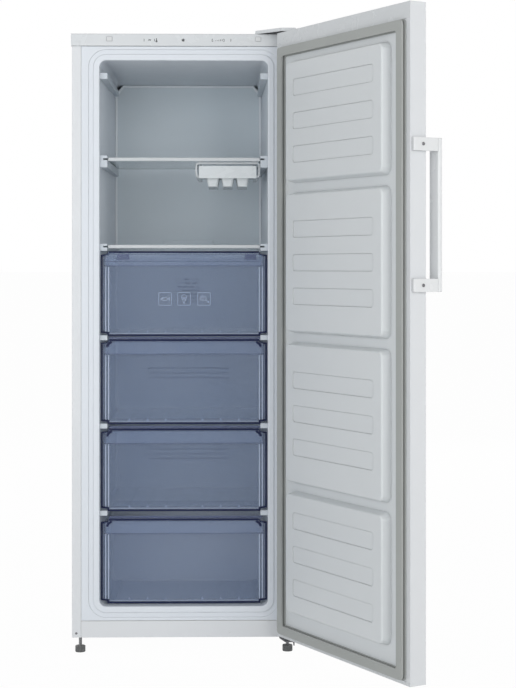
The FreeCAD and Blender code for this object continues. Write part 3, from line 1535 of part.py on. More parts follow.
def fan_rotor():
    """Bladed fan wheel on the motor's shaft."""
    body = new_body("fan_rotor")
    hub = face(body, "fan_hub", "fan_front")
    circle(hub, "0", "0", "fan_hub_radius")
    circle(hub, "0", "0", "fan_shaft_radius + running_gap")
    pad(body, hub, "fan_depth", backwards=True)
    blade = profile(body, "fan_blade", "fan_hub_radius * 0.9")
    low, high = "-(fan_blade_slant + fan_blade_wall) / 2", "(fan_blade_slant + fan_blade_wall) / 2"
    front, back = "fan_front + fan_blade_wall / 2", "fan_front + fan_depth - fan_blade_wall / 2"
    outline(blade, (
        (front, low), (front, f"{low} + fan_blade_wall"), (back, high), (back, f"{high} - fan_blade_wall"),
    ))
    ring_of(body, pad(body, blade, "fan_radius - fan_hub_radius - fan_blade_wall"), hub, "N_Axis", "fan_blades")
    return keep(stand(body, up="fan_up"))


# ---- runners and shelves


def runner(name, side, low, high, glass_up=None):
    """A block on the cavity's side wall, with a slot for a shelf's glass where one rides in it."""
    body = new_body(f"{name}_{'left' if side < 0 else 'right'}")
    front, back = "runner_front", "runner_back"
    inset = "0 * seam"
    if name == "floor_runner":
        front, back, inset = "floor_runner_front", "floor_runner_back", "opening_corner"
    section = plan(body, f"{body.Name}_section", low)
    outline(section, (
        (f"{side} * ({runner_face} - {inset})", front), (f"{side} * ({wall_half(front)} - {inset})", front),
        (f"{side} * ({wall_half(back)} - {inset})", back), (f"{side} * ({runner_face} - {inset})", back),
    ))
    pad(body, section, f"{high} - ({low})")
    round_edges(body, "rail_wall", lambda edge: runs_along(edge, "z") and lies_at(
        edge, x=f"{side} * ({runner_face} - {inset})"))
    if glass_up:
        slot = face(body, f"{body.Name}_slot", "0")
        ends = sorted((f"{side} * ({runner_face} - 1)", f"{side} * ({runner_face} + slot_depth)"), key=worth)
        rectangle(slot, *ends, f"{glass_up} - touch_gap", f"{glass_up} - touch_gap + slot_height")
        pocket(body, slot, "cabinet_depth")
    return body


def shelf_runners():
    """All the blocks that carry the shelves and drawers, seven on each side wall."""
    upper, lower = "upper_shelf_up", "lower_shelf_up"
    members = []
    for side in (-1, 1):
        members.append(runner("top_runner", side, "top_runner_bottom", "top_runner_bottom + top_runner_height"))
        members.append(runner("upper_runner", side, f"{upper} - upper_runner_below",
                              f"{upper} + slot_height + upper_runner_above", upper))
        members.append(runner("lower_runner", side, f"{lower} - lower_runner_below",
                              f"{lower} + slot_height + lower_runner_above", lower))
        for number in (1, 2, 3):
            floor = f"drawer_{number}_floor"
            members.append(runner(f"drawer_{number}_runner", side, f"{floor} - drawer_runner_height", floor))
        members.append(runner("floor_runner", side, "opening_bottom", "drawer_4_floor"))
    return keep(stand(group("shelf_runners", members)))


def shelf_glass(shelf):
    """Toughened glass sheet with round rear corners."""
    body = new_body(f"{shelf}_glass")
    section = plan(body, f"{shelf}_sheet", f"{shelf}_up")
    side = f"({runner_face} + slot_depth - shelf_slack)"
    rectangle(section, f"-{side}", side, "shelf_front + trim_depth - trim_bite", "shelf_front + shelf_depth")
    pad(body, section, "glass_thickness")
    round_edges(body, "shelf_corner", lambda edge: runs_along(edge, "z") and lies_at(
        edge, y="shelf_front + shelf_depth"))
    return keep(stand(body))


def shelf_trim(shelf):
    """Moulded strip gripped on the glass's front edge."""
    body = new_body(f"{shelf}_trim")
    side = f"({runner_face} - shelf_slack)"
    low = f"{shelf}_up - trim_lip"
    section = profile(body, f"{shelf}_trim_section", f"-{side}")
    front, back, bite = "shelf_front", "shelf_front + trim_depth", "shelf_front + trim_depth - trim_bite"
    outline(section, (
        (front, low), (back, low), (back, f"{shelf}_up"), (bite, f"{shelf}_up"),
        (bite, f"{shelf}_up + glass_thickness"), (back, f"{shelf}_up + glass_thickness"),
        (back, f"{low} + trim_height"), (front, f"{low} + trim_height"),
    ))
    pad(body, section, f"2 * {side}")
    round_edges(body, "trim_lip * 0.8", lambda edge: runs_along(edge, "x") and lies_on_plane(edge, "y", front))
    return keep(stand(body))


# ---- ice tray


carrier_top = "(upper_shelf_up - carrier_drop)"
carrier_low = "(upper_shelf_up - carrier_drop - carrier_height)"
carrier_middle = "((carrier_left + carrier_right) / 2)"


def ice_tray_carrier():
    """Frame stuck under the upper shelf's glass, with two inward ledges for the ice tray."""
    body = new_body("ice_tray_carrier")
    loop = face(body, "carrier_loop", "carrier_front")
    rounded(loop, "carrier_left", "carrier_right", carrier_low, carrier_top, "carrier_corner")
    rounded(loop, "carrier_left + carrier_bar", "carrier_right - carrier_bar", f"{carrier_low} + carrier_bar",
            f"{carrier_top} - carrier_bar", "carrier_corner - carrier_bar")
    pad(body, loop, "carrier_depth", backwards=True)
    way = face(body, "carrier_way", "carrier_front")
    rectangle(way, "carrier_left + carrier_hook", "carrier_right - carrier_hook",
              f"{carrier_low} - seam", f"{carrier_low} + carrier_bar + seam")
    pocket(body, way, "carrier_depth")
    window = plan(body, "carrier_window", carrier_top)
    rounded(window, "carrier_left + carrier_hook", "carrier_right - carrier_hook",
            "carrier_front + carrier_tab", "carrier_front + carrier_depth - carrier_tab", "carrier_corner")
    pocket(body, window, "carrier_bar")
    tabs = plan(body, "carrier_tabs", carrier_top)
    for across in ("carrier_left + carrier_corner", "carrier_right - carrier_corner - carrier_tab"):
        for back in ("carrier_front", "carrier_front + carrier_depth - carrier_tab"):
            rectangle(tabs, across, f"{across} + carrier_tab", back, f"{back} + carrier_tab")
    pad(body, tabs, "carrier_drop")
    return keep(stand(body))


def ice_tray():
    """Tray of three webbed troughs behind a plain front panel, which slides on the carrier's ledges."""
    body = new_body("ice_tray")
    low = f"({carrier_low} + carrier_bar + touch_gap)"
    front = "(tray_lip_front + tray_lip_wall)"
    side = "(carrier_bar + tray_slack)"
    plate = plan(body, "tray_sheet", low)
    rounded(plate, f"carrier_left + {side}", f"carrier_right - {side}", front, f"{front} + tray_length",
            "tray_plate * 2")
    pad(body, plate, "tray_plate")
    lip = face(body, "tray_lip", front)
    rounded(lip, "carrier_left + tray_lip_inset", "carrier_right - tray_lip_inset", "tray_lip_bottom",
            "tray_lip_top", "tray_plate")
    pad(body, lip, "tray_lip_wall")
    start = f"({front} + (tray_length - cup_length) / 2)"

    def trough(place, kind, up, depth, inset):
        middle = f"({carrier_middle} + {place} * cup_pitch)"
        names = f"trough_{place + 2}_{kind}"
        half, taper = f"(cup_width / 2 - {inset})", "cup_taper"
        top, bottom = plan(body, f"{names}_top", up), plan(body, f"{names}_bottom", f"{up} - ({depth})")
        rounded(top, f"{middle} - {half}", f"{middle} + {half}", f"{start} + {inset}",
                f"{start} + cup_length - {inset}", "tray_plate * 3")
        rounded(bottom, f"{middle} - {half} + {taper}", f"{middle} + {half} - {taper}",
                f"{start} + {inset} + {taper}", f"{start} + cup_length - {inset} - {taper}", "tray_plate * 3")
        loft(body, kind, top, bottom)

    for place in (-1, 0, 1):
        trough(place, "Additive", low, "cup_depth", "0")
    for place in (-1, 0, 1):
        trough(place, "Subtractive", f"{low} + tray_plate", "cup_depth + tray_plate - cup_wall", "cup_wall")
    web = face(body, "tray_web", f"{start} + web_pitch * web_count - cup_wall / 2")
    for place in (-1, 0, 1):
        middle = f"({carrier_middle} + {place} * cup_pitch)"
        foot, head = "cup_width / 2 - cup_taper - cup_wall / 2", "cup_width / 2 - cup_taper * 0.45 - cup_wall / 2"
        outline(web, (
            (f"{middle} - ({foot})", f"{low} - cup_depth + cup_wall / 2"),
            (f"{middle} + {foot}", f"{low} - cup_depth + cup_wall / 2"),
            (f"{middle} + {head}", f"{low} - cup_depth + web_height"),
            (f"{middle} - ({head})", f"{low} - cup_depth + web_height"),
        ))
    row_of(body, pad(body, web, "cup_wall", backwards=True), web, "N_Axis", "web_pitch", "web_count")
    return keep(stand(body))


# ---- drawers


front_half = f"({wall_half('drawer_front')} - drawer_side_gap)"


def drawer_front(number, height):
    """Drawer front: a plate with a raised frame, a hooded grip along the top and corners cut round the runners."""
    body = new_body(f"drawer_{number}_front")
    floor = f"drawer_{number}_floor"
    low, high = f"({floor} - front_drop)", f"({floor} - front_drop + {height})"
    sheet_front = "drawer_front + front_frame_proud"
    plate = face(body, f"front_{number}_plate", sheet_front)
    rounded(plate, f"-{front_half}", front_half, low, high, "front_corner")
    pad(body, plate, "front_wall", backwards=True)
    frame = face(body, f"front_{number}_frame", sheet_front)
    inner = f"({front_half} - front_frame)"
    rounded(frame, f"-{front_half}", front_half, low, high, "front_corner")
    rounded(frame, f"-{inner}", inner, f"{low} + front_frame", f"{high} - front_frame", "front_corner / 2")
    pad(body, frame, "front_frame_proud")
    grip = face(body, f"front_{number}_grip", sheet_front)
    hood = f"({front_half} - grip_side)"
    rectangle(grip, f"-{hood}", hood, f"{high} - grip_height", high)
    pad(body, grip, "grip_proud + front_frame_proud")
    under = plan(body, f"front_{number}_hollow", f"{high} - grip_height")
    rectangle(under, f"grip_wall - {hood}", f"{hood} - grip_wall", "drawer_front - grip_proud + grip_wall", sheet_front)
    pocket(body, under, "grip_height - grip_wall", backwards=True)
    round_edges(body, "grip_wall * 0.7", lambda edge: runs_along(edge, "x") and lies_at(
        edge, y="drawer_front - grip_proud", z=high))
    notches = face(body, f"front_{number}_notches", "drawer_front - grip_proud - seam")
    inward, outward = f"({front_half} - notch_width)", f"({front_half} + seam)"
    for left, right in ((inward, outward), (f"-{outward}", f"-{inward}")):
        rectangle(notches, left, right, f"{low} - seam", f"{low} + notch_height")
        rectangle(notches, left, right, f"{high} - notch_height", f"{high} + seam")
    pocket(body, notches, "grip_proud + front_frame_proud + front_wall + 2 * seam")
    return keep(stand(body))


def drawer_tub(number, height, length):
    """Drawer tub with drafted walls, a rim and ribs along its floor."""
    body = new_body(f"drawer_{number}_tub")
    low = f"(drawer_{number}_floor + touch_gap)"
    high = f"(drawer_{number}_floor - front_drop + {height} - tub_rim_below)"
    front = "(drawer_front + front_frame_proud + front_wall)"

    def layer(name, up, grow, back_grow, corner):
        sketch = plan(body, f"tub_{number}_{name}", up)
        rounded(sketch, f"-tub_half_width - {grow}", f"tub_half_width + {grow}", f"{front} - {back_grow}",
                f"{front} + {length} + {grow}", corner)
        return sketch

    loft(body, "Additive", layer("bottom", low, "(-tub_draft)", "0", "tub_corner"),
         layer("top", high, "0", "0", "tub_corner"))
    rim = layer("rim", high, "tub_rim_width", "(-tub_wall)", "tub_corner")
    pad(body, rim, "tub_wall", backwards=True)
    inside = "(-tub_wall)"
    loft(body, "Subtractive", layer("inner_top", high, inside, inside, "tub_corner - tub_wall"),
         layer("inner_bottom", f"{low} + tub_wall", f"({inside} - tub_draft)", inside, "tub_corner - tub_wall"))
    ribs = plan(body, f"tub_{number}_ribs", f"{low} + tub_wall")
    for place in (1, 2, 3):
        middle = f"{place} * tub_rib_pitch"
        rectangle(ribs, f"{middle} - tub_rib_width / 2", f"{middle} + tub_rib_width / 2",
                  f"{front} + tub_rib_end", f"{front} + {length} - tub_rib_end")
    mirror_across(body, pad(body, ribs, "tub_rib_height"))
    return keep(stand(body))


side_panel("left_side_panel", -1)
side_panel("right_side_panel", 1)
top_panel()
back_panel()
machine_room_wall()
hollow = cavity_form("cavity", "0 * liner_wall")
liner_outside = cavity_form("liner", "liner_wall")
insulation_foam(liner_outside)
inner_liner(liner_outside, hollow)
front_cross_rail()
kick_panel()
front_foot("left_front_foot", -1)
front_foot("right_front_foot", 1)
rear_roller("left_rear_roller", -1)
rear_roller("right_rear_roller", 1)
left_fork = fuse("left_roller_fork", [roller_fork(-1), roller_axle(-1)])
right_fork = fuse("right_roller_fork", [roller_fork(1), roller_axle(1)])
keep(stand(group("roller_forks", [left_fork, right_fork])))
compressor_base()
compressor()
compressor_mounts()
drip_tray()
drain_tube()
suction_across = "compressor_across + 2 * compressor_radius"
suction = copper_pipe("suction_pipe", "compressor_back - pipe_spread", "suction_up", suction_across)
discharge = copper_pipe("discharge_pipe", "compressor_back + pipe_spread", "discharge_up",
                        f"{suction_across} + pipe_spread")
keep(stand(group("refrigerant_pipes", [suction, discharge, filter_drier()])))
mains_inlet()
condenser()
control_fascia()
control_board()
push_button("left_button", -1)
push_button("right_button", 1)
top_hinge()
hinge_screws()
hinge_cover()
bottom_hinge()
upper_bush = hinge_bush("upper_hinge_bush", "door_top - bush_length", "door_top")
lower_bush = hinge_bush("lower_hinge_bush", "door_bottom", "door_bottom - bush_flange")
keep(hang(group("hinge_bushes", [upper_bush, lower_bush])))
door_panel()
door_cap("door_top_cap", liner_high, "door_top", 1)
door_cap("door_bottom_cap", "door_bottom", liner_low, -1)
door_core()
door_gasket()
handle_bar()
upper_arm = handle_foot("upper_handle_foot", "(handle_top - handle_foot_height)")
lower_arm = handle_foot("lower_handle_foot", "handle_bottom")
keep(hang(group("handle_feet", [upper_arm, lower_arm])))
handle_screws()
evaporator_cover()
evaporator()
defrost_heater()
fan_motor()
fan_rotor()
shelf_runners()
for shelf in ("upper_shelf", "lower_shelf"):
    shelf_glass(shelf)
    shelf_trim(shelf)
ice_tray_carrier()
ice_tray()
for number, height, length in ((1, "tall", "long"), (2, "tall", "long"), (3, "short", "long"), (4, "tall", "short")):
    drawer_front(number, f"{height}_front")
    drawer_tub(number, f"{height}_front", f"{length}_tub")


def finish():
    """Tests every object and writes each piece to its own file."""
    document.recompute()
    failed = [item.Name for item in document.Objects if {"Invalid", "Error"} & set(item.State)]
    broken = [piece.Label for piece in pieces if piece.Shape.isNull() or not piece.Shape.isValid()]
    empty = [item.Label for item in document.Objects
             if item.TypeId == "PartDesign::Body" and not item.Shape.Solids]
    if failed or broken or empty:
        raise SystemExit(f"not built: {failed} {broken} {empty}")
    os.makedirs("parts", exist_ok=True)
    for piece in pieces:
        piece.Shape.exportStep(f"parts/{piece.Label}.step")
    for piece in pieces:
        box = piece.Shape.BoundBox
        print(f"{piece.Label}: {len(piece.Shape.Solids)} solids, {piece.Shape.Volume / 1000:.1f} cm3, "
              f"x {box.XMin:.1f} {box.XMax:.1f} y {box.YMin:.1f} {box.YMax:.1f} z {box.ZMin:.1f} {box.ZMax:.1f}")
    print(f"{len(pieces)} pieces")


finish()
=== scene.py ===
import math

import bmesh
import bpy
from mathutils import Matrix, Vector


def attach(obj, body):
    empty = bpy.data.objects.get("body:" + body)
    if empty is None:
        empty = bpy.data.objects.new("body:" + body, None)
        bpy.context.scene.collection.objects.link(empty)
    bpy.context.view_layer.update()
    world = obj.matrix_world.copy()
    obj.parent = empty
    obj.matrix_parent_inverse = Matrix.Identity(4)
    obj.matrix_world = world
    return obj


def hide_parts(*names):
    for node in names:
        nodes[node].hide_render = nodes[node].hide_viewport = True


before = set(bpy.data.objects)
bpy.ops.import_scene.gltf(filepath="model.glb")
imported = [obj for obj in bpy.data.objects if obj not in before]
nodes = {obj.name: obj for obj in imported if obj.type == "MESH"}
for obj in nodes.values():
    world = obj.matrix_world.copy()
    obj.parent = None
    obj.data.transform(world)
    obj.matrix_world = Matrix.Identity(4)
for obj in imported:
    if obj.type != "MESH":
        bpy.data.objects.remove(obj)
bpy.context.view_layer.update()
print("frame loaded:", len(nodes), "nodes")


# small helpers for shader trees

def addNode(tree, kind, values=None, **settings):
    node = tree.nodes.new(kind)
    for key, value in settings.items():
        setattr(node, key, value)
    for socket, value in (values or {}).items():
        if isinstance(value, bpy.types.NodeSocket):
            tree.links.new(value, node.inputs[socket])
        else:
            node.inputs[socket].default_value = value
    return node


def newGroup(name, inputs, outputs):
    tree = bpy.data.node_groups.new(name, "ShaderNodeTree")
    for label, value in inputs.items():
        kind = "NodeSocketVector" if isinstance(value, tuple) else "NodeSocketFloat"
        socket = tree.interface.new_socket(name=label, in_out="INPUT", socket_type=kind)
        socket.default_value = value
    for label, kind in outputs.items():
        tree.interface.new_socket(name=label, in_out="OUTPUT", socket_type=kind)
    return tree, tree.nodes.new("NodeGroupInput"), tree.nodes.new("NodeGroupOutput")


def placeGroup(tree, name, **values):
    node = addNode(tree, "ShaderNodeGroup", node_tree=bpy.data.node_groups[name])
    for label, value in values.items():
        node.inputs[label].default_value = value
    return node.outputs


def mixColours(tree, share, first, second):
    node = addNode(tree, "ShaderNodeMix", data_type="RGBA")
    for socket, value in ((0, share), (6, first), (7, second)):   # 6 and 7 are its colours
        if isinstance(value, bpy.types.NodeSocket):
            tree.links.new(value, node.inputs[socket])
        elif socket:
            node.inputs[socket].default_value = (*value, 1.0)
        else:
            node.inputs[socket].default_value = value
    return node.outputs[2]


def calc(tree, operation, first, second, clamped=False):
    node = addNode(tree, "ShaderNodeMath", {0: first, 1: second}, operation=operation)
    node.use_clamp = clamped
    return node.outputs[0]


def spread(tree, value, low, high, fromLow=0.0, fromHigh=1.0):
    ranged = {"Value": value, "From Min": fromLow, "From Max": fromHigh,
              "To Min": low, "To Max": high}
    return addNode(tree, "ShaderNodeMapRange", ranged).outputs[0]


def maskFrom(tree, value, shown):
    return spread(tree, value, 0.0, 1.0, *shown)


def objectPlace(tree):
    return addNode(tree, "ShaderNodeTexCoord").outputs["Object"]


def addNoise(tree, place, scale, detail, **values):
    return addNode(tree, "ShaderNodeTexNoise",
                   {"Vector": place, "Scale": scale, "Detail": detail, **values})


def bumpFrom(tree, shader, height, look, normal=None):
    values = {"Strength": look["depth"], "Distance": look.get("reach", 0.0003), "Height": height}
    if normal is not None:
        values["Normal"] = normal
    bump = addNode(tree, "ShaderNodeBump", values)
    tree.links.new(bump.outputs[0], shader.inputs["Normal"])


# effects that several finishes share

# painted shade: the crease mask darkens colours in creases, recesses and gaps between parts,
# found by ambient occlusion
creaseShade = {"distance": 0.01, "samples": 4, "open": (0.25, 0.95)}
surfaceGrain = {"scale": 900.0, "fineDetail": 3.0, "broadScale": 4.0, "broadDetail": 5.0}
edgeWear = {"radius": 0.001, "samples": 4, "turned": (0.995, 0.8),
            "patches": 60.0, "detail": 4.0, "shown": (0.4, 0.7)}
settledDust = {"amount": 0.3, "scale": 30.0, "detail": 6.0, "upward": (0.3, 1.0),
               "shown": (0.3, 0.7), "least": 0.2}
wipedMarks = {"scale": 9.0, "detail": 5.0, "rough": 0.65, "bendScale": 3.0, "bendDetail": 2.0,
              "shown": (0.35, 0.7)}


def buildCreaseGroup():
    crease = creaseShade
    tree, start, end = newGroup("Crease shade", {"Distance": crease["distance"]},
                                {"Mask": "NodeSocketFloat"})
    nearness = addNode(tree, "ShaderNodeAmbientOcclusion",
                       {"Distance": start.outputs["Distance"]}, samples=crease["samples"])
    tree.links.new(spread(tree, nearness.outputs["AO"], 1.0, 0.0, *crease["open"]),
                   end.inputs["Mask"])


def buildGrainGroup():
    grain = surfaceGrain
    tree, start, end = newGroup(
        "Surface grain", {"Scale": grain["scale"], "Stretch": (1.0, 1.0, 1.0)},
        {"Height": "NodeSocketFloat", "Tone": "NodeSocketFloat"})
    stretched = addNode(tree, "ShaderNodeVectorMath",
                        {0: objectPlace(tree), 1: start.outputs["Stretch"]},
                        operation="MULTIPLY").outputs[0]
    fine = addNoise(tree, stretched, start.outputs["Scale"], grain["fineDetail"])
    broad = addNoise(tree, stretched, grain["broadScale"], grain["broadDetail"])
    tree.links.new(fine.outputs[0], end.inputs["Height"])
    tree.links.new(broad.outputs[0], end.inputs["Tone"])


def buildEdgeGroup():
    wear = edgeWear
    tree, start, end = newGroup(
        "Edge wear", {"Radius": wear["radius"], "Patches": wear["patches"]},
        {"Mask": "NodeSocketFloat", "Normal": "NodeSocketVector"})
    soft = addNode(tree, "ShaderNodeBevel", {"Radius": start.outputs["Radius"]},
                   samples=wear["samples"]).outputs[0]
    true = addNode(tree, "ShaderNodeNewGeometry").outputs["Normal"]
    same = addNode(tree, "ShaderNodeVectorMath", {0: soft, 1: true},
                   operation="DOT_PRODUCT").outputs["Value"]
    edge = maskFrom(tree, same, wear["turned"])
    patch = addNoise(tree, objectPlace(tree), start.outputs["Patches"], wear["detail"])
    shown = maskFrom(tree, patch.outputs[0], wear["shown"])
    tree.links.new(calc(tree, "MULTIPLY", edge, shown, True), end.inputs["Mask"])
    tree.links.new(soft, end.inputs["Normal"])


def buildDustGroup():
    dust = settledDust
    tree, start, end = newGroup(
        "Settled dust", {"Amount": dust["amount"], "Scale": dust["scale"]},
        {"Mask": "NodeSocketFloat"})
    up = addNode(tree, "ShaderNodeNewGeometry").outputs["Normal"]
    height = addNode(tree, "ShaderNodeSeparateXYZ", {0: up}).outputs["Z"]
    drift = addNoise(tree, objectPlace(tree), start.outputs["Scale"], dust["detail"])
    laid = calc(tree, "MULTIPLY", maskFrom(tree, height, dust["upward"]),
                spread(tree, drift.outputs[0], dust["least"], 1.0, *dust["shown"]), True)
    tree.links.new(calc(tree, "MULTIPLY", laid, start.outputs["Amount"], True),
                   end.inputs["Mask"])


def buildSmudgeGroup():
    wipe = wipedMarks
    tree, start, end = newGroup("Wiped marks", {"Scale": wipe["scale"]},
                                {"Mask": "NodeSocketFloat"})
    place = objectPlace(tree)
    bent = addNoise(tree, place, wipe["bendScale"], wipe["bendDetail"])
    moved = addNode(tree, "ShaderNodeVectorMath", {0: bent.outputs["Color"], 1: place},
                    operation="ADD").outputs[0]
    marks = addNoise(tree, moved, start.outputs["Scale"], wipe["detail"],
                     Roughness=wipe["rough"])
    tree.links.new(maskFrom(tree, marks.outputs[0], wipe["shown"]), end.inputs["Mask"])


for build in (buildCreaseGroup, buildGrainGroup, buildEdgeGroup, buildDustGroup,
              buildSmudgeGroup):
    build()
print("shared effects built")


def newFinish(name):
    material = bpy.data.materials.new(name)
    material.use_nodes = True
    tree = material.node_tree
    return material, tree, tree.nodes["Principled BSDF"]


def setShader(shader, **values):
    for label, value in values.items():
        shader.inputs[label].default_value = value


# paint, mouldings, rubber and vinyl: what a finish doesn't set, it takes from here
coveredDefaults = {
    "stretch": (1, 1, 1), "edgeRadius": 0.0008, "wear": 0.3, "reach": 0.0004, "smudge": 9.0,
    "dust": 0.08, "dustColour": (0.55, 0.53, 0.5), "dustRough": 0.3,
    "crease": 0.5, "creaseReach": 0.008, "creaseShadeTone": 0.55, "shader": {},
}


def coveredFinish(name, given):
    look = {**coveredDefaults, **given}
    material, tree, shader = newFinish(name)
    grain = placeGroup(tree, "Surface grain", Scale=look["grain"], Stretch=look["stretch"])
    edge = placeGroup(tree, "Edge wear", Radius=look["edgeRadius"])
    colour = mixColours(tree, grain["Tone"], look["colour"], look["shade"])
    worn = calc(tree, "MULTIPLY", edge["Mask"], look["wear"])
    colour = mixColours(tree, worn, colour, look.get("worn", look["shade"]))
    dust = placeGroup(tree, "Settled dust", Amount=look["dust"])["Mask"]
    colour = mixColours(tree, dust, colour, look["dustColour"])
    # painted shade: colour pulled towards a darker copy of the shade colour in creases and
    # between parts
    crease = placeGroup(tree, "Crease shade", Distance=look["creaseReach"])["Mask"]
    deep = [part * look["creaseShadeTone"] for part in look["shade"]]
    colour = mixColours(tree, calc(tree, "MULTIPLY", crease, look["crease"]), colour, deep)
    tree.links.new(colour, shader.inputs["Base Color"])
    wiped = placeGroup(tree, "Wiped marks", Scale=look["smudge"])["Mask"]
    rough = spread(tree, wiped, *look["rough"])
    dusty = calc(tree, "MULTIPLY", dust, look["dustRough"])
    tree.links.new(calc(tree, "ADD", rough, dusty, True), shader.inputs["Roughness"])
    bumpFrom(tree, shader, grain["Height"], look, edge["Normal"])
    setShader(shader, **look["shader"])
    return material


paintWhite = {
    "colour": (0.74, 0.755, 0.77), "shade": (0.71, 0.73, 0.75), "grain": 420.0, "depth": 0.10,
    "rough": (0.30, 0.42), "wear": 0.25, "worn": (0.86, 0.86, 0.86), "dust": 0.05,
    "edgeRadius": 0.0012, "shader": {"Coat Weight": 0.25, "Coat Roughness": 0.15},
}
hingeSteel = {
    "colour": (0.16, 0.16, 0.165), "shade": (0.10, 0.10, 0.11), "grain": 700.0, "depth": 0.3,
    "rough": (0.38, 0.55), "wear": 0.6, "worn": (0.42, 0.42, 0.42), "dust": 0.1,
    "shader": {"Metallic": 0.85},
}
compressorBlack = {
    "colour": (0.018, 0.018, 0.019), "shade": (0.035, 0.035, 0.036), "grain": 500.0,
    "depth": 0.4, "rough": (0.28, 0.45), "wear": 0.4, "worn": (0.14, 0.13, 0.12), "dust": 0.45,
    "shader": {"Coat Weight": 0.2},
}
condenserBlack = {
    "colour": (0.02, 0.02, 0.021), "shade": (0.04, 0.04, 0.04), "grain": 600.0, "depth": 0.35,
    "rough": (0.35, 0.5), "worn": (0.16, 0.15, 0.14), "dust": 0.5,
}
linerPlastic = {
    "colour": (0.74, 0.775, 0.82), "shade": (0.72, 0.76, 0.81), "grain": 260.0, "depth": 0.12,
    "rough": (0.30, 0.42), "worn": (0.90, 0.92, 0.94), "dust": 0.0,
    "edgeRadius": 0.003, "crease": 0.12, "shader": {"IOR": 1.55},
}
doorLinerPlastic = {
    "colour": (0.72, 0.745, 0.755), "shade": (0.69, 0.72, 0.735), "grain": 260.0,
    "depth": 0.12, "rough": (0.32, 0.45), "wear": 0.4, "worn": (0.86, 0.88, 0.89),
    "dust": 0.0, "edgeRadius": 0.003, "shader": {"IOR": 1.55},
}
coverPlastic = {
    "colour": (0.72, 0.79, 0.83), "shade": (0.67, 0.75, 0.80), "grain": 700.0, "depth": 0.2,
    "rough": (0.36, 0.48), "worn": (0.86, 0.9, 0.93), "dust": 0.0,
    "edgeRadius": 0.002, "crease": 0.1,
}
runnerPlastic = {
    "colour": (0.60, 0.645, 0.69), "shade": (0.56, 0.61, 0.66), "grain": 500.0, "depth": 0.1,
    "rough": (0.28, 0.4), "wear": 0.4, "worn": (0.70, 0.74, 0.78), "dust": 0.0, "crease": 0.2,
}
gasketVinyl = {
    "colour": (0.42, 0.435, 0.42), "shade": (0.37, 0.385, 0.37), "grain": 900.0, "depth": 0.35,
    "rough": (0.5, 0.68), "worn": (0.46, 0.47, 0.45), "dust": 0.1,
    "shader": {"Sheen Weight": 0.15},
}
fasciaPlastic = {
    "colour": (0.70, 0.72, 0.735), "shade": (0.67, 0.695, 0.71), "grain": 800.0, "depth": 0.12,
    "rough": (0.22, 0.34), "worn": (0.88, 0.88, 0.88), "dust": 0.04,
}
buttonPlastic = {
    "colour": (0.70, 0.71, 0.72), "shade": (0.66, 0.675, 0.68), "grain": 900.0, "depth": 0.15,
    "rough": (0.25, 0.38), "wear": 0.5, "worn": (0.84, 0.84, 0.84), "dust": 0.04,
    "edgeRadius": 0.0005,
}
handlePlastic = {
    "colour": (0.80, 0.81, 0.815), "shade": (0.765, 0.78, 0.785), "grain": 900.0, "depth": 0.1,
    "rough": (0.18, 0.3), "worn": (0.88, 0.88, 0.88), "dust": 0.03,
}
blackPlastic = {
    "colour": (0.03, 0.03, 0.031), "shade": (0.045, 0.045, 0.046), "grain": 1100.0,
    "depth": 0.45, "rough": (0.45, 0.6), "worn": (0.1, 0.1, 0.1), "dust": 0.3,
}
footPlastic = {
    "colour": (0.16, 0.165, 0.165), "shade": (0.13, 0.135, 0.135), "grain": 900.0,
    "depth": 0.35, "rough": (0.45, 0.62), "wear": 0.5, "worn": (0.25, 0.25, 0.25),
    "dust": 0.25,
}
greyPlastic = {
    "colour": (0.42, 0.43, 0.44), "shade": (0.37, 0.38, 0.39), "grain": 900.0, "depth": 0.3,
    "rough": (0.4, 0.55), "wear": 0.35, "worn": (0.55, 0.56, 0.57), "dust": 0.15,
}
mountRubber = {
    "colour": (0.022, 0.022, 0.022), "shade": (0.035, 0.034, 0.033), "grain": 1300.0,
    "depth": 0.5, "rough": (0.6, 0.8), "wear": 0.5, "worn": (0.09, 0.09, 0.085), "dust": 0.35,
}
bushPlastic = {
    "colour": (0.68, 0.68, 0.64), "shade": (0.62, 0.62, 0.58), "grain": 900.0, "depth": 0.2,
    "rough": (0.35, 0.5), "wear": 0.4, "worn": (0.75, 0.75, 0.72), "dust": 0.05,
}

zincCoating = {
    "spangle": 130.0, "bright": (0.56, 0.57, 0.58), "dull": (0.49, 0.50, 0.51),
    "rough": (0.42, 0.52), "dust": 0.18, "dustColour": (0.4, 0.38, 0.35), "grain": 300.0,
    "edgeRadius": 0.0006, "depth": 0.2,
}


def zincSheet(name, look):
    material, tree, shader = newFinish(name)
    cells = addNode(tree, "ShaderNodeTexVoronoi",
                    {"Vector": objectPlace(tree), "Scale": look["spangle"]})
    tone = addNode(tree, "ShaderNodeSeparateColor", {0: cells.outputs["Color"]}).outputs[0]
    colour = mixColours(tree, tone, look["dull"], look["bright"])
    dust = placeGroup(tree, "Settled dust", Amount=look["dust"])["Mask"]
    tree.links.new(mixColours(tree, dust, colour, look["dustColour"]),
                   shader.inputs["Base Color"])
    tree.links.new(spread(tree, tone, *look["rough"]), shader.inputs["Roughness"])
    grain = placeGroup(tree, "Surface grain", Scale=look["grain"])
    edge = placeGroup(tree, "Edge wear", Radius=look["edgeRadius"])
    bumpFrom(tree, shader, grain["Height"], look, edge["Normal"])
    setShader(shader, Metallic=0.9)
    return material


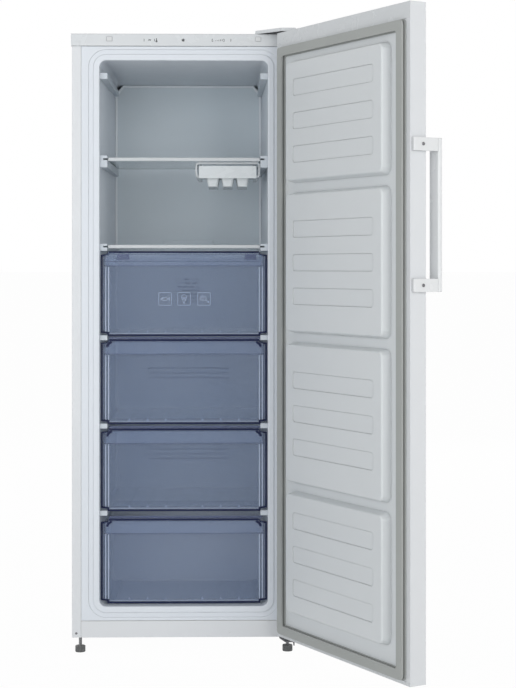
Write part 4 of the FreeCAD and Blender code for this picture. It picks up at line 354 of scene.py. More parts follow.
drawnDefaults = {"edgeRadius": 0.0004, "edgeShare": 0.5, "stretch": (1.0, 1.0, 1.0)}
copperTube = {
    "bright": (0.74, 0.36, 0.21), "tarnish": (0.40, 0.19, 0.12), "edge": (0.85, 0.5, 0.33),
    "grain": 500.0, "tarnishScale": 25.0, "rough": (0.22, 0.45), "depth": 0.25,
}
finSheet = {
    "bright": (0.80, 0.81, 0.82), "tarnish": (0.66, 0.67, 0.69), "edge": (0.9, 0.9, 0.9),
    "grain": 400.0, "tarnishScale": 12.0, "rough": (0.22, 0.38), "depth": 0.2,
    "stretch": (1.0, 6.0, 1.0),
}
screwSteel = {
    "bright": (0.56, 0.56, 0.57), "tarnish": (0.40, 0.40, 0.41), "edge": (0.75, 0.75, 0.75),
    "grain": 900.0, "tarnishScale": 60.0, "rough": (0.22, 0.4), "depth": 0.3,
    "stretch": (1.0, 1.0, 5.0),
}
darkScrewSteel = {
    "bright": (0.20, 0.20, 0.21), "tarnish": (0.12, 0.12, 0.125), "edge": (0.4, 0.4, 0.4),
    "grain": 900.0, "tarnishScale": 60.0, "rough": (0.3, 0.45), "depth": 0.3,
}


def drawnMetal(name, given):
    look = {**drawnDefaults, **given}
    material, tree, shader = newFinish(name)
    grain = placeGroup(tree, "Surface grain", Scale=look["grain"], Stretch=look["stretch"])
    edge = placeGroup(tree, "Edge wear", Radius=look["edgeRadius"])
    tarnish = placeGroup(tree, "Wiped marks", Scale=look["tarnishScale"])["Mask"]
    colour = mixColours(tree, tarnish, look["bright"], look["tarnish"])
    rubbed = calc(tree, "MULTIPLY", edge["Mask"], look["edgeShare"])
    tree.links.new(mixColours(tree, rubbed, colour, look["edge"]), shader.inputs["Base Color"])
    tree.links.new(spread(tree, tarnish, *look["rough"]), shader.inputs["Roughness"])
    bumpFrom(tree, shader, grain["Height"], look, edge["Normal"])
    setShader(shader, Metallic=1.0)
    return material


foamCells = {
    "cell": 900.0, "pale": (0.80, 0.70, 0.42), "deep": (0.66, 0.55, 0.30), "skin": 60.0,
    "rough": (0.7, 0.9), "depth": 0.5, "reach": 0.0005,
}


def cellFoam(name, look):
    material, tree, shader = newFinish(name)
    cells = addNode(tree, "ShaderNodeTexVoronoi",
                    {"Vector": objectPlace(tree), "Scale": look["cell"]})
    skin = placeGroup(tree, "Surface grain", Scale=look["skin"])
    tree.links.new(mixColours(tree, skin["Tone"], look["deep"], look["pale"]),
                   shader.inputs["Base Color"])
    tree.links.new(spread(tree, skin["Height"], *look["rough"]), shader.inputs["Roughness"])
    bumpFrom(tree, shader, cells.outputs["Distance"], look)
    return material


boardLacquer = {
    "tracks": 90.0, "first": (0.012, 0.10, 0.045, 1), "second": (0.02, 0.14, 0.06, 1),
    "gap": (0.05, 0.22, 0.10, 1), "gapSize": 0.06, "grain": 500.0, "rough": (0.25, 0.4),
    "depth": 0.3,
}


def circuitBoard(name, look):
    material, tree, shader = newFinish(name)
    tracks = addNode(tree, "ShaderNodeTexBrick", {
        "Vector": objectPlace(tree), "Scale": look["tracks"], "Color1": look["first"],
        "Color2": look["second"], "Mortar": look["gap"], "Mortar Size": look["gapSize"]})
    tree.links.new(tracks.outputs["Color"], shader.inputs["Base Color"])
    grain = placeGroup(tree, "Surface grain", Scale=look["grain"])
    tree.links.new(spread(tree, grain["Height"], *look["rough"]), shader.inputs["Roughness"])
    bumpFrom(tree, shader, tracks.outputs["Fac"], look)
    return material


# clear and milky plastics and glass, with their thickness seen as a darker or paler edge
drawerTubPlastic = {
    "colour": (0.52, 0.60, 0.72), "shade": (0.48, 0.565, 0.69), "edge": (0.14, 0.20, 0.36),
    "edgeRadius": 0.0015, "edgeShare": 0.7, "grain": 120.0, "depth": 0.02,
    "rough": (0.14, 0.26), "index": 1.5, "alpha": 0.26,
}
drawerFrontPlastic = {
    "colour": (0.34, 0.42, 0.60), "shade": (0.22, 0.31, 0.52), "edge": (0.06, 0.09, 0.2),
    "edgeRadius": 0.002, "edgeShare": 0.9, "grain": 120.0, "depth": 0.015,
    "rough": (0.06, 0.16), "index": 1.45, "alpha": 0.17,
}
tubFrontPlastic = {
    "colour": (0.25, 0.33, 0.49), "shade": (0.23, 0.305, 0.46), "edge": (0.12, 0.17, 0.32),
    "edgeRadius": 0.0015, "edgeShare": 0.4, "grain": 120.0, "depth": 0.02,
    "rough": (0.10, 0.2), "index": 1.4, "alpha": 0.05,
}
# the tub's rib tips in a more opaque plastic with pale edges: painted glints on the floor ribs
ribTipGlintPlastic = {
    "colour": (0.50, 0.58, 0.74), "shade": (0.46, 0.54, 0.70), "edge": (0.7, 0.78, 0.9),
    "edgeRadius": 0.0006, "edgeShare": 0.6, "grain": 300.0, "depth": 0.05,
    "rough": (0.1, 0.2), "index": 1.57, "alpha": 0.7,
}
# dark drawer edges and clips, with painted shadow of the gap round each drawer in the same colour
edgeAndGapShadePlastic = {
    "colour": (0.014, 0.02, 0.065), "shade": (0.01, 0.015, 0.05), "edge": (0.05, 0.07, 0.16),
    "index": 1.25, "alpha": 0.96,
}
paleLinePlastic = {
    "colour": (0.58, 0.66, 0.80), "shade": (0.54, 0.62, 0.77), "edge": (0.72, 0.79, 0.9),
    "alpha": 0.62,
}
softLinePlastic = {
    "colour": (0.10, 0.13, 0.26), "shade": (0.08, 0.11, 0.23), "edge": (0.2, 0.25, 0.4),
    "alpha": 0.6,
}
shelfPane = {
    "colour": (0.26, 0.35, 0.38), "shade": (0.23, 0.325, 0.355), "edge": (0.16, 0.30, 0.28),
    "edgeRadius": 0.002, "edgeShare": 0.9, "grain": 40.0, "depth": 0.02,
    "rough": (0.02, 0.08), "index": 1.52, "alpha": 0.26,
}
groundEdge = {
    "colour": (0.10, 0.19, 0.19), "shade": (0.08, 0.16, 0.16), "edge": (0.3, 0.45, 0.43),
    "edgeRadius": 0.0005, "grain": 600.0, "depth": 0.1,
    "rough": (0.25, 0.4), "index": 1.52, "alpha": 0.75,
}
trimPlastic = {
    "colour": (0.74, 0.77, 0.79), "shade": (0.70, 0.735, 0.76), "edge": (0.85, 0.87, 0.88),
    "edgeRadius": 0.001, "grain": 150.0, "depth": 0.06,
    "rough": (0.08, 0.18), "alpha": 0.8,
}
iceCarrierPlastic = {
    "colour": (0.76, 0.79, 0.81), "shade": (0.72, 0.755, 0.78), "edge": (0.9, 0.92, 0.93),
    "edgeRadius": 0.001, "grain": 150.0, "depth": 0.06,
    "rough": (0.1, 0.2), "alpha": 0.75,
}
iceTrayPlastic = {
    "colour": (0.70, 0.735, 0.75), "shade": (0.66, 0.70, 0.72), "edge": (0.84, 0.86, 0.87),
    "edgeRadius": 0.001, "edgeShare": 0.4, "grain": 300.0, "depth": 0.15,
    "rough": (0.2, 0.35), "index": 1.5, "alpha": 0.97,
}
# what a clear finish doesn't set, it takes from here
clearDefaults = {"edgeRadius": 0.0004, "edgeShare": 0.5, "grain": 400.0, "depth": 0.05,
                 "rough": (0.1, 0.22), "index": 1.57, "smudge": 7.0}


def clearMoulding(name, given):
    look = {**clearDefaults, **given}
    material, tree, shader = newFinish(name)
    grain = placeGroup(tree, "Surface grain", Scale=look["grain"])
    edge = placeGroup(tree, "Edge wear", Radius=look["edgeRadius"])
    colour = mixColours(tree, grain["Tone"], look["colour"], look["shade"])
    rim = calc(tree, "MULTIPLY", edge["Mask"], look["edgeShare"])
    tree.links.new(mixColours(tree, rim, colour, look["edge"]), shader.inputs["Base Color"])
    wiped = placeGroup(tree, "Wiped marks", Scale=look["smudge"])["Mask"]
    tree.links.new(spread(tree, wiped, *look["rough"]), shader.inputs["Roughness"])
    bumpFrom(tree, shader, grain["Height"], look)
    setShader(shader, IOR=look["index"], Alpha=look["alpha"])
    return material


finishes = {
    "white_steel": coveredFinish("White painted steel", paintWhite),
    "zinc_steel": zincSheet("Zinc coated sheet", zincCoating),
    "hinge_steel": coveredFinish("Hinge steel", hingeSteel),
    "black_steel": coveredFinish("Compressor enamel", compressorBlack),
    "copper": drawnMetal("Copper tube", copperTube),
    "condenser_steel": coveredFinish("Condenser enamel", condenserBlack),
    "fin_aluminium": drawnMetal("Fin aluminium", finSheet),
    "foam": cellFoam("Insulation foam", foamCells),
    "liner": coveredFinish("Liner styrene", linerPlastic),
    "door_liner": coveredFinish("Door liner styrene", doorLinerPlastic),
    "cover": coveredFinish("Evaporator cover styrene", coverPlastic),
    "runner": coveredFinish("Runner styrene", runnerPlastic),
    "gasket": coveredFinish("Gasket vinyl", gasketVinyl),
    "fascia": coveredFinish("Fascia moulding", fasciaPlastic),
    "button": coveredFinish("Button moulding", buttonPlastic),
    "board": circuitBoard("Control board", boardLacquer),
    "clear_drawer": clearMoulding("Drawer tub styrene", drawerTubPlastic),
    "drawer_front": clearMoulding("Drawer front styrene", drawerFrontPlastic),
    "shelf_glass": clearMoulding("Shelf glass", shelfPane),
    "trim": clearMoulding("Shelf trim styrene", trimPlastic),
    "ice_carrier": clearMoulding("Ice carrier styrene", iceCarrierPlastic),
    "ice_tray": clearMoulding("Ice tray moulding", iceTrayPlastic),
    "handle": coveredFinish("Handle moulding", handlePlastic),
    "screw": drawnMetal("Screw steel", screwSteel),
    "black_plastic": coveredFinish("Black moulding", blackPlastic),
    "foot_plastic": coveredFinish("Foot moulding", footPlastic),
    "grey_plastic": coveredFinish("Grey moulding", greyPlastic),
    "mount_rubber": coveredFinish("Mount rubber", mountRubber),
    "bush_plastic": coveredFinish("Hinge bush moulding", bushPlastic),
}

for nodeName, cadObject in nodes.items():
    for place in cadObject.material_slots:
        slotName = place.material.name.split(".")[0]
        if slotName not in finishes:
            print("no finish for", slotName, "on", nodeName)
        else:
            place.material = finishes[slotName]
print("finishes on", len(nodes), "nodes")


# a raised band with a soft section that follows lines drawn on a surface
bandShape = {"sunk": 0.0001, "shoulder": 0.45, "crown": 0.6, "sharpest": 0.4}


def bandSection(width, rise):
    half, sunk = width / 2, -bandShape["sunk"]
    shoulder, crown = rise * bandShape["shoulder"], half * bandShape["crown"]
    return [(-half, sunk), (-half, shoulder), (-crown, rise), (crown, rise),
            (half, shoulder), (half, sunk)]


def bandPath(lines, points, closed, width, rise, surface):
    origin, across, up, out = surface
    count = len(points)
    rings = []
    for index, point in enumerate(points):
        before = points[index - 1] if closed or index else None
        after = points[(index + 1) % count] if closed or index < count - 1 else None
        ways = [(b - a).normalized() for a, b in ((before, point), (point, after)) if a and b]
        way = (ways[0] + ways[-1]).normalized()
        side = Vector((-way.y, way.x))
        bend = abs(side.dot(Vector((-ways[0].y, ways[0].x))))
        reach = 1.0 / max(bandShape["sharpest"], bend)
        ring = []
        for offset, height in bandSection(width, rise):
            flat = point + side * offset * reach
            ring.append(lines.verts.new(origin + across * flat.x + up * flat.y + out * height))
        rings.append(ring)
    pairs = list(zip(rings, rings[1:] + rings[:1])) if closed else list(zip(rings, rings[1:]))
    for first, second in pairs:
        for corner in range(len(first)):
            following = (corner + 1) % len(first)
            lines.faces.new((first[corner], first[following],
                             second[following], second[corner]))
    if not closed:
        lines.faces.new(rings[0][::-1])
        lines.faces.new(rings[-1])


def finishPiece(name, shape, material, body):
    bmesh.ops.recalc_face_normals(shape, faces=shape.faces)
    mesh = bpy.data.meshes.new(name)
    shape.to_mesh(mesh)
    shape.free()
    for face in mesh.polygons:
        face.use_smooth = False
    mesh.materials.append(material)
    piece = bpy.data.objects.new(name, mesh)
    bpy.context.scene.collection.objects.link(piece)
    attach(piece, body)
    return piece


def drawBands(name, paths, width, rise, surface, material, body):
    shape = bmesh.new()
    for points, closed in paths:
        bandPath(shape, [Vector(point) for point in points], closed, width, rise, surface)
    return finishPiece(name, shape, material, body)


def frontSurface(depth):
    return (Vector((0.0, depth, 0.0)), Vector((1, 0, 0)), Vector((0, 0, 1)),
            Vector((0, -1, 0)))


def roundedLoop(left, right, low, high, radius, steps=5):
    points = []
    corners = ((right - radius, low + radius, -90), (right - radius, high - radius, 0),
               (left + radius, high - radius, 90), (left + radius, low + radius, 180))
    for x, z, start in corners:
        for step in range(steps + 1):
            turn = math.radians(start + 90.0 * step / steps)
            points.append((x + radius * math.cos(turn), z + radius * math.sin(turn)))
    return points


def arc(x, z, radius, start, end, steps=10, squash=1.0):
    turns = [math.radians(start + (end - start) * step / steps) for step in range(steps + 1)]
    return [(x + radius * math.cos(turn), z + radius * squash * math.sin(turn))
            for turn in turns]


def mirroredLines(paths, middle):
    return [([(2 * middle - x, z) for x, z in points[::-1]], closed)
            for points, closed in paths]


edgeAndGapShadeLine = clearMoulding("Drawer edge line", edgeAndGapShadePlastic)
paleLine = clearMoulding("Drawer light line", paleLinePlastic)
softLine = clearMoulding("Drawer fold line", softLinePlastic)
tubFrontWall = clearMoulding("Tub front wall styrene", tubFrontPlastic)
ribTipGlint = clearMoulding("Tub rib tip painted glint", ribTipGlintPlastic)

drawerTrim = {
    "spans": {1: (0.844, 1.072), 2: (0.608, 0.836), 3: (0.375, 0.597), 4: (0.128, 0.356)},
    "left": 0.0549, "right": 0.5001, "frameDepth": -0.001, "panelDepth": 0.0015,
    "outline": 0.0050, "outlineRise": 0.0006, "notch": (0.020, 0.009), "lineRise": 0.0004,
    "hoodInset": 0.010, "hoodHeight": 0.040, "hoodDepth": -0.009, "hoodEnd": 0.012,
    "hoodLip": 0.0016,
    "inner": {"inset": 0.0085, "corner": 0.004, "width": 0.0013},
    "light": {"base": 0.0078, "end": 0.011, "sides": (0.0125, 0.0205), "foot": 0.004,
              "top": 0.003, "width": 0.0030},
    "topLip": {"left": 0.0225, "right": 0.0135, "up": 0.0030, "width": 0.0070,
               "rise": 0.0022},
    "clipSlots": {"spans": ((0.098, 0.131), (0.441, 0.471)), "down": 0.0155, "width": 0.015},
    "fold": {"inset": 0.002, "up": 0.0125, "width": 0.0012, "rise": 0.0003},
    "wedge": {"points": ((0.0165, 0.0205), (0.0205, 0.0125), (0.0295, 0.0065)),
              "width": 0.0065},
}
ribTips = {"places": (-3, -2, -1, 1, 2, 3), "pitch": 0.049, "depth": 0.0042, "half": 0.0035,
           "long": 0.012, "foot": 0.0095, "peak": 0.0155, "peakHalf": 0.001, "peakIn": 0.004}


def buildDrawerTrim(number):
    trim = drawerTrim
    low, high = trim["spans"][number]
    left, right, middle = trim["left"], trim["right"], (trim["left"] + trim["right"]) / 2
    frameFace, panel = frontSurface(trim["frameDepth"]), frontSurface(trim["panelDepth"])
    hood = frontSurface(trim["hoodDepth"])
    hoodLeft, hoodRight = left + trim["hoodInset"], right - trim["hoodInset"]
    hoodLow = high - trim["hoodHeight"]
    outline, outlineRise, thin = trim["outline"], trim["outlineRise"], trim["lineRise"]
    half = outline / 2

    def drawFront(label, paths, width, rise, surface, material):
        drawBands(f"drawer{number}{label}", paths, width, rise, surface, material,
                  f"drawer_{number}")

    # the dark outline ring is partly the drawer front's dark tinted edge and partly painted
    # shadow of the gap between drawer and liner opening
    across, down = trim["notch"]
    side = [(left + across, high - half), (left + across, high - down),
            (left + half, high - down - half), (left + half, low + down + half),
            (left + across, low + down), (left + across, low + half), (middle, low + half)]
    ring = [(side, False)] + mirroredLines([(side, False)], middle)
    drawFront("Outline", ring, outline, outlineRise, frameFace, edgeAndGapShadeLine)
    top = [(hoodLeft + trim["hoodEnd"], high - half), (hoodRight - trim["hoodEnd"], high - half)]
    drawFront("HoodTop", [(top, False)], outline, outlineRise, hood, edgeAndGapShadeLine)
    lipUp = hoodLow + trim["hoodLip"] / 2
    lip = [(hoodLeft, lipUp), (hoodRight, lipUp)]
    drawFront("HoodLip", [(lip, False)], trim["hoodLip"], thin, hood, softLine)
    inner = trim["inner"]
    inset = inner["inset"]
    loop = roundedLoop(left + inset, right - inset, low + inset, high - inset, inner["corner"])
    drawFront("InnerLine", [(loop, True)], inner["width"], thin, panel, softLine)

    light = trim["light"]
    base = low + light["base"]
    pale = [([(left + light["end"], base), (right - light["end"], base)], False)]
    for edge, way in ((left, 1), (right, -1)):
        for inset in light["sides"]:
            x = edge + way * inset
            pale.append(([(x, base + light["foot"]), (x, hoodLow - light["top"])], False))
    drawFront("LightLines", pale, light["width"], thin, panel, paleLine)
    if number > 1:   # the first drawer's hood goes up to the shelf and has no lip on top
        topLip = trim["topLip"]
        z = high + topLip["up"]
        above = [([(left + topLip["left"], z), (right - topLip["right"], z)], False)]
        drawFront("TopLip", above, topLip["width"], topLip["rise"], frameFace, softLine)
    buildRibTips(number, middle, low)
    if number == 1:
        clip, fold = trim["clipSlots"], trim["fold"]
        z = high - clip["down"]
        slots = [([(start, z), (end, z)], False) for start, end in clip["spans"]]
        drawFront("ClipSlots", slots, clip["width"], thin, hood, softLine)
        z = hoodLow + fold["up"]
        folded = [([(hoodLeft + fold["inset"], z), (hoodRight - fold["inset"], z)], False)]
        drawFront("HoodFold", folded, fold["width"], fold["rise"], hood, softLine)
    else:
        wedge = trim["wedge"]
        wedges = [([(left + x, high - z) for x, z in wedge["points"]], False)]
        wedges += mirroredLines(wedges, middle)
        drawFront("CornerWedges", wedges, wedge["width"], outlineRise, hood, edgeAndGapShadeLine)


def buildRibTips(number, middle, low):
    tip = ribTips
    half, long, peakHalf = tip["half"], tip["long"], tip["peakHalf"]
    shape = bmesh.new()
    for count in tip["places"]:
        x = middle + count * tip["pitch"]
        foot = [shape.verts.new((x + dx, tip["depth"] + dy, low + tip["foot"]))
                for dx, dy in ((-half, 0.0), (half, 0.0), (half, long), (-half, long))]
        peak = [shape.verts.new((x + dx, tip["depth"] + tip["peakIn"], low + tip["peak"]))
                for dx in (-peakHalf, peakHalf)]
        for corners in ((foot[0], foot[1], peak[1], peak[0]),
                        (foot[2], foot[3], peak[0], peak[1]), (foot[1], foot[2], peak[1]),
                        (foot[3], foot[0], peak[0]), foot[::-1]):
            shape.faces.new(corners)
    finishPiece(f"drawer{number}RibTips", shape, ribTipGlint, f"drawer_{number}")


tubShell = {"flat": 0.00005, "gap": 0.0004, "wall": 0.004}


def buildTubShell(number):
    nodeName = f"drawer_{number}_tub"
    shape = bmesh.new()
    shape.from_mesh(nodes[nodeName].data)
    front = min(corner.co.y for corner in shape.verts)
    for corner in shape.verts:
        if corner.co.y < front + tubShell["flat"]:
            corner.co.y += tubShell["gap"]   # a hair's gap behind the front's moulding
    for side in shape.faces:
        if max(corner.co.y for corner in side.verts) < front + tubShell["wall"]:
            side.material_index = 1
    piece = finishPiece(f"drawer{number}TubShell", shape, finishes["clear_drawer"],
                        f"drawer_{number}")
    piece.data.materials.append(tubFrontWall)
    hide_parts(nodeName)


for number in drawerTrim["spans"]:
    buildDrawerTrim(number)
    buildTubShell(number)
print("drawer trims built")


# pictures on the first drawer, each drawn round its own middle in metres
pictograms = {"height": 0.944, "half": 0.017, "corner": 0.003, "line": 0.0013, "rise": 0.0003,
              "places": (0.2266, 0.2775, 0.331)}


def fishLines(x, z):
    body = arc(x - 0.002, z - 0.0035, 0.0105, 20, 160, 12, 0.78)
    belly = arc(x - 0.002, z + 0.0035, 0.0105, 200, 340, 12, 0.78)
    tail = [(x + 0.0075, z), (x + 0.0125, z + 0.005), (x + 0.011, z), (x + 0.0125, z - 0.005)]
    eye = arc(x - 0.007, z + 0.001, 0.0011, 0, 324, 9)
    gill = arc(x - 0.0075, z, 0.0045, -45, 45, 6)
    return [(body + belly, True), (tail, True), (eye, True), (gill, False)]


def coneLines(x, z):
    scoop = arc(x, z + 0.005, 0.0066, -15, 195, 14)
    wafer = [(x - 0.0066, z + 0.003), (x, z - 0.0125), (x + 0.0066, z + 0.003)]
    lattice = [([(x - 0.0042, z - 0.0025), (x + 0.0022, z + 0.003)], False),
               ([(x + 0.0042, z - 0.0025), (x - 0.0022, z + 0.003)], False)]
    return [(scoop, False), (wafer, True)] + lattice


def jointLines(x, z):
    meat = arc(x - 0.0025, z + 0.0015, 0.0085, 0, 342, 18, 0.8)
    bone = [(x + 0.0045, z - 0.003), (x + 0.0105, z - 0.0072), (x + 0.0125, z - 0.0055),
            (x + 0.0125, z - 0.0095), (x + 0.0092, z - 0.0095)]
    cutFace = arc(x - 0.0035, z + 0.002, 0.0042, 0, 324, 12, 0.75)
    return [(meat, True), (bone, False), (cutFace, True)]


def buildPictograms():
    half, height = pictograms["half"], pictograms["height"]
    paths = []
    for place, draw in zip(pictograms["places"], (fishLines, coneLines, jointLines)):
        paths.append((roundedLoop(place - half, place + half, height - half, height + half,
                                  pictograms["corner"]), True))
        paths += draw(place, height)
    drawBands("drawer1Pictograms", paths, pictograms["line"], pictograms["rise"],
              frontSurface(drawerTrim["panelDepth"]), paleLine, "drawer_1")


buildPictograms()
print("pictograms built")


markInk = coveredFinish("Mark print", {
    "colour": (0.02, 0.022, 0.025), "shade": (0.035, 0.038, 0.042), "grain": 1500.0,
    "depth": 0.05, "rough": (0.35, 0.5), "wear": 0.5, "worn": (0.45, 0.46, 0.47),
    "dust": 0.02, "edgeRadius": 0.0002})
# in the drawings below, x is the place on the strip and z is counted from its middle
fasciaMarks = {
    "depth": -0.029, "middle": 1.6337, "line": 0.0017, "thin": 0.8, "bold": 1.2,
    "rise": 0.00012, "ticks": (0.172, 0.1994, 0.403), "tickHalf": 0.0035,
    "warm": ((0.1832, -0.001), (0.1855, 0.002), (0.188, -0.001), (0.190, 0.002)),
    "flake": {"x": 0.276, "reach": 0.0044, "turns": (30, 90, 150)},
    "gauge": {"x": 0.2051, "down": 0.0032, "radius": 0.0017, "stem": (-0.0015, 0.005)},
    "brackets": {"spans": ((0.355, 0.353), (0.383, 0.385)), "half": 0.003},
    "bars": {"x": 0.3575, "pitch": 0.0045, "foot": 0.0022, "grow": 0.0009, "count": 6},
}


def buildFasciaMarks():
    marks = fasciaMarks
    z, surface = marks["middle"], frontSurface(marks["depth"])
    tickHalf = marks["tickHalf"]
    ticks = [([(x, z - tickHalf), (x, z + tickHalf)], False) for x in marks["ticks"]]
    warm = [([(x, z + up) for x, up in marks["warm"]], False)]
    snow, flake = marks["flake"], []
    for turn in snow["turns"]:
        dx = snow["reach"] * math.cos(math.radians(turn))
        dz = snow["reach"] * math.sin(math.radians(turn))
        flake.append(([(snow["x"] - dx, z - dz), (snow["x"] + dx, z + dz)], False))
    bulb = marks["gauge"]
    gauge = [(arc(bulb["x"], z - bulb["down"], bulb["radius"], 0, 324, 9), True),
             ([(bulb["x"], z + up) for up in bulb["stem"]], False)]
    ends, bars = marks["brackets"]["half"], marks["bars"]
    level = [([(inner, z + ends), (outer, z + ends), (outer, z - ends), (inner, z - ends)],
              False) for inner, outer in marks["brackets"]["spans"]]
    for step in range(bars["count"]):
        x, foot = bars["x"] + bars["pitch"] * step, z - bars["foot"]
        level.append(([(x, foot), (x, foot + bars["grow"] * (step + 1))], False))
    for name, paths, share in (
            ("Ticks", ticks, marks["thin"]), ("WarmMark", warm, 1.0),
            ("ColdMark", flake, marks["bold"]), ("GaugeMark", gauge, marks["bold"]),
            ("LevelMark", level, marks["thin"])):
        drawBands("fascia" + name, paths, marks["line"] * share, marks["rise"], surface,
                  markInk, "cabinet")


buildFasciaMarks()
print("fascia marks built")


# a raised bead round the evaporator cover's sides and chamfers, paler than the cover: painted
# highlight along its edges
coverEdge = {
    "left": 0.0648, "right": 0.4902, "low": 0.337, "high": 1.5636, "across": 0.020,
    "up": 0.026, "depth": 0.444, "width": 0.0066, "rise": 0.0018,
    "finish": {
        "colour": (0.88, 0.92, 0.95), "shade": (0.84, 0.885, 0.92), "grain": 500.0,
        "depth": 0.05, "rough": (0.2, 0.3), "wear": 0.2, "dust": 0.0, "crease": 0.0},
}


def buildCoverEdge():
    edge = coverEdge
    shoulder = edge["high"] - edge["up"]
    rim = [(edge["left"], edge["low"]), (edge["left"], shoulder),
           (edge["left"] + edge["across"], edge["high"]),
           (edge["right"] - edge["across"], edge["high"]),
           (edge["right"], shoulder), (edge["right"], edge["low"])]
    drawBands("coverEdgeBead", [(rim, False)], edge["width"], edge["rise"],
              frontSurface(edge["depth"]), coveredFinish("Cover edge bead", edge["finish"]),
              "cabinet")


buildCoverEdge()
print("cover edge built")


def lathe(shape, profile, centre, axis, sides=24):
    axis = Vector(axis).normalized()
    side = axis.orthogonal().normalized()
    other = axis.cross(side)
    rings = []
    for radius, along in profile:
        middle = Vector(centre) + axis * along
        if radius == 0.0:
            rings.append([shape.verts.new(middle)])
            continue
        turns = [2 * math.pi * step / sides for step in range(sides)]
        rings.append([shape.verts.new(middle + radius * (side * math.cos(turn)
                                                         + other * math.sin(turn)))
                      for turn in turns])
    for first, second in zip(rings, rings[1:]):
        for step in range(sides):
            following = (step + 1) % sides
            corners = [first[step % len(first)], first[following % len(first)],
                       second[following % len(second)], second[step % len(second)]]
            corners = [corner for index, corner in enumerate(corners)
                       if corner not in corners[:index]]
            if len(corners) > 2:
                shape.faces.new(corners)


# shares of the head's radius outwards and of its rise upwards
screwHead = {
    "sunk": 0.0002,
    "dome": ((1.0, 0.35), (0.86, 0.72), (0.62, 0.93), (0.42, 1.0), (0.30, 1.0), (0.16, 0.45),
             (0.0, 0.4)),
    "upper": ((0.22, -0.09), (0.56, -0.07), (0.56, 0.07), (0.22, 0.09)), "upperRise": 1.01,
    "lower": ((0.2, -0.09), (0.52, -0.07), (0.52, 0.07), (0.2, 0.09)), "lowerRise": 0.93,
}


def crossHead(shape, centre, axis, radius, rise):
    head = screwHead
    axis = Vector(axis).normalized()
    dome = [(radius, -head["sunk"])] + [(radius * out, rise * up) for out, up in head["dome"]]
    lathe(shape, dome, centre, axis)
    side = axis.orthogonal().normalized()
    for way in (side, axis.cross(side)):
        other = axis.cross(way)
        for sign in (-1, 1):
            upper, lower = (
                [shape.verts.new(Vector(centre) + axis * rise * lift
                                 + way * sign * radius * reach + other * wide * radius)
                 for reach, wide in corners]
                for corners, lift in ((head["upper"], head["upperRise"]),
                                      (head["lower"], head["lowerRise"])))
            shape.faces.new(upper)
            shape.faces.new(lower[::-1])
            for step in range(4):
                following = (step + 1) % 4
                shape.faces.new((upper[step], lower[step], lower[following],
                                 upper[following]))


darkScrew = drawnMetal("Dark screw steel", darkScrewSteel)

screws = {
    "return": {"place": (-0.0085, -0.026, 0.054), "radius": 0.0032, "rise": 0.0012},
    "plug": {"place": (0.4007, -0.0260, 0.0560), "radius": 0.0024, "rise": 0.0006},
    "handle": {"doorTurn": 29.5, "flat": 0.0001, "radius": 0.0039, "rise": 0.0007},
    "back": {"depth": 0.5642, "radius": 0.0035, "rise": 0.0009,
             "rows": (((-0.010, 0.130, 0.2775, 0.425, 0.565), (0.302, 1.641)),
                      ((-0.010, 0.565), (0.52, 0.76, 1.00, 1.24, 1.46)))},
}


def buildFrontScrew(name, screw, material):
    shape = bmesh.new()
    crossHead(shape, screw["place"], (0, -1, 0), screw["radius"], screw["rise"])
    finishPiece(name, shape, material, "cabinet")


def buildHandleScrews():
    handle, shape = screws["handle"], bmesh.new()
    heads = nodes["handle_screws"].data.vertices
    turn = math.radians(handle["doorTurn"])
    way = Vector((math.sin(turn), -math.cos(turn), 0.0))
    middle = (min(v.co.z for v in heads) + max(v.co.z for v in heads)) / 2
    for part in ([v.co for v in heads if v.co.z < middle],
                 [v.co for v in heads if v.co.z > middle]):
        reach = max(place.dot(way) for place in part)
        top = [place for place in part if place.dot(way) > reach - handle["flat"]]
        crossHead(shape, sum(top, Vector()) / len(top), way, handle["radius"], handle["rise"])
    finishPiece("handleScrewHeads", shape, darkScrew, "door")


def buildBackScrews():
    back, shape = screws["back"], bmesh.new()
    for columns, levels in back["rows"]:
        for x in columns:
            for z in levels:
                crossHead(shape, (x, back["depth"], z), (0, 1, 0), back["radius"],
                          back["rise"])
    finishPiece("backPanelScrewHeads", shape, finishes["screw"], "cabinet")


buildFrontScrew("returnScrewHead", screws["return"], darkScrew)
buildHandleScrews()
buildFrontScrew("kickPanelPlug", screws["plug"], finishes["white_steel"])
buildBackScrews()
print("screws built")


footThread = {"radius": 0.0040, "crest": 0.0007, "sunk": 0.0002, "flank": 0.0005,
              "pitch": 0.00125, "low": 0.0165, "high": 0.0425, "steps": 14,
              "places": {"left": 0.0, "right": 0.555}}


def buildFootThread(side, x):
    thread = footThread
    shape = bmesh.new()
    turns = (thread["high"] - thread["low"]) / thread["pitch"]
    inner, outer = thread["radius"] - thread["sunk"], thread["radius"] + thread["crest"]
    rings = []
    for step in range(int(turns * thread["steps"]) + 1):
        turn = 2 * math.pi * step / thread["steps"]
        z = thread["low"] + thread["pitch"] * step / thread["steps"]
        way = Vector((math.cos(turn), math.sin(turn), 0.0))
        middle, flank = Vector((x, 0.0, z)), Vector((0, 0, thread["flank"]))
        rings.append([shape.verts.new(middle + way * inner - flank),
                      shape.verts.new(middle + way * outer),
                      shape.verts.new(middle + way * inner + flank)])
    for first, second in zip(rings, rings[1:]):
        for corner in range(3):
            following = (corner + 1) % 3
            shape.faces.new((first[corner], second[corner],
                             second[following], first[following]))
    shape.faces.new(rings[0][::-1])
    shape.faces.new(rings[-1])
    finishPiece(f"{side}FootThread", shape, finishes["screw"], f"{side}_foot")


for side, x in footThread["places"].items():
    buildFootThread(side, x)
print("foot threads built")


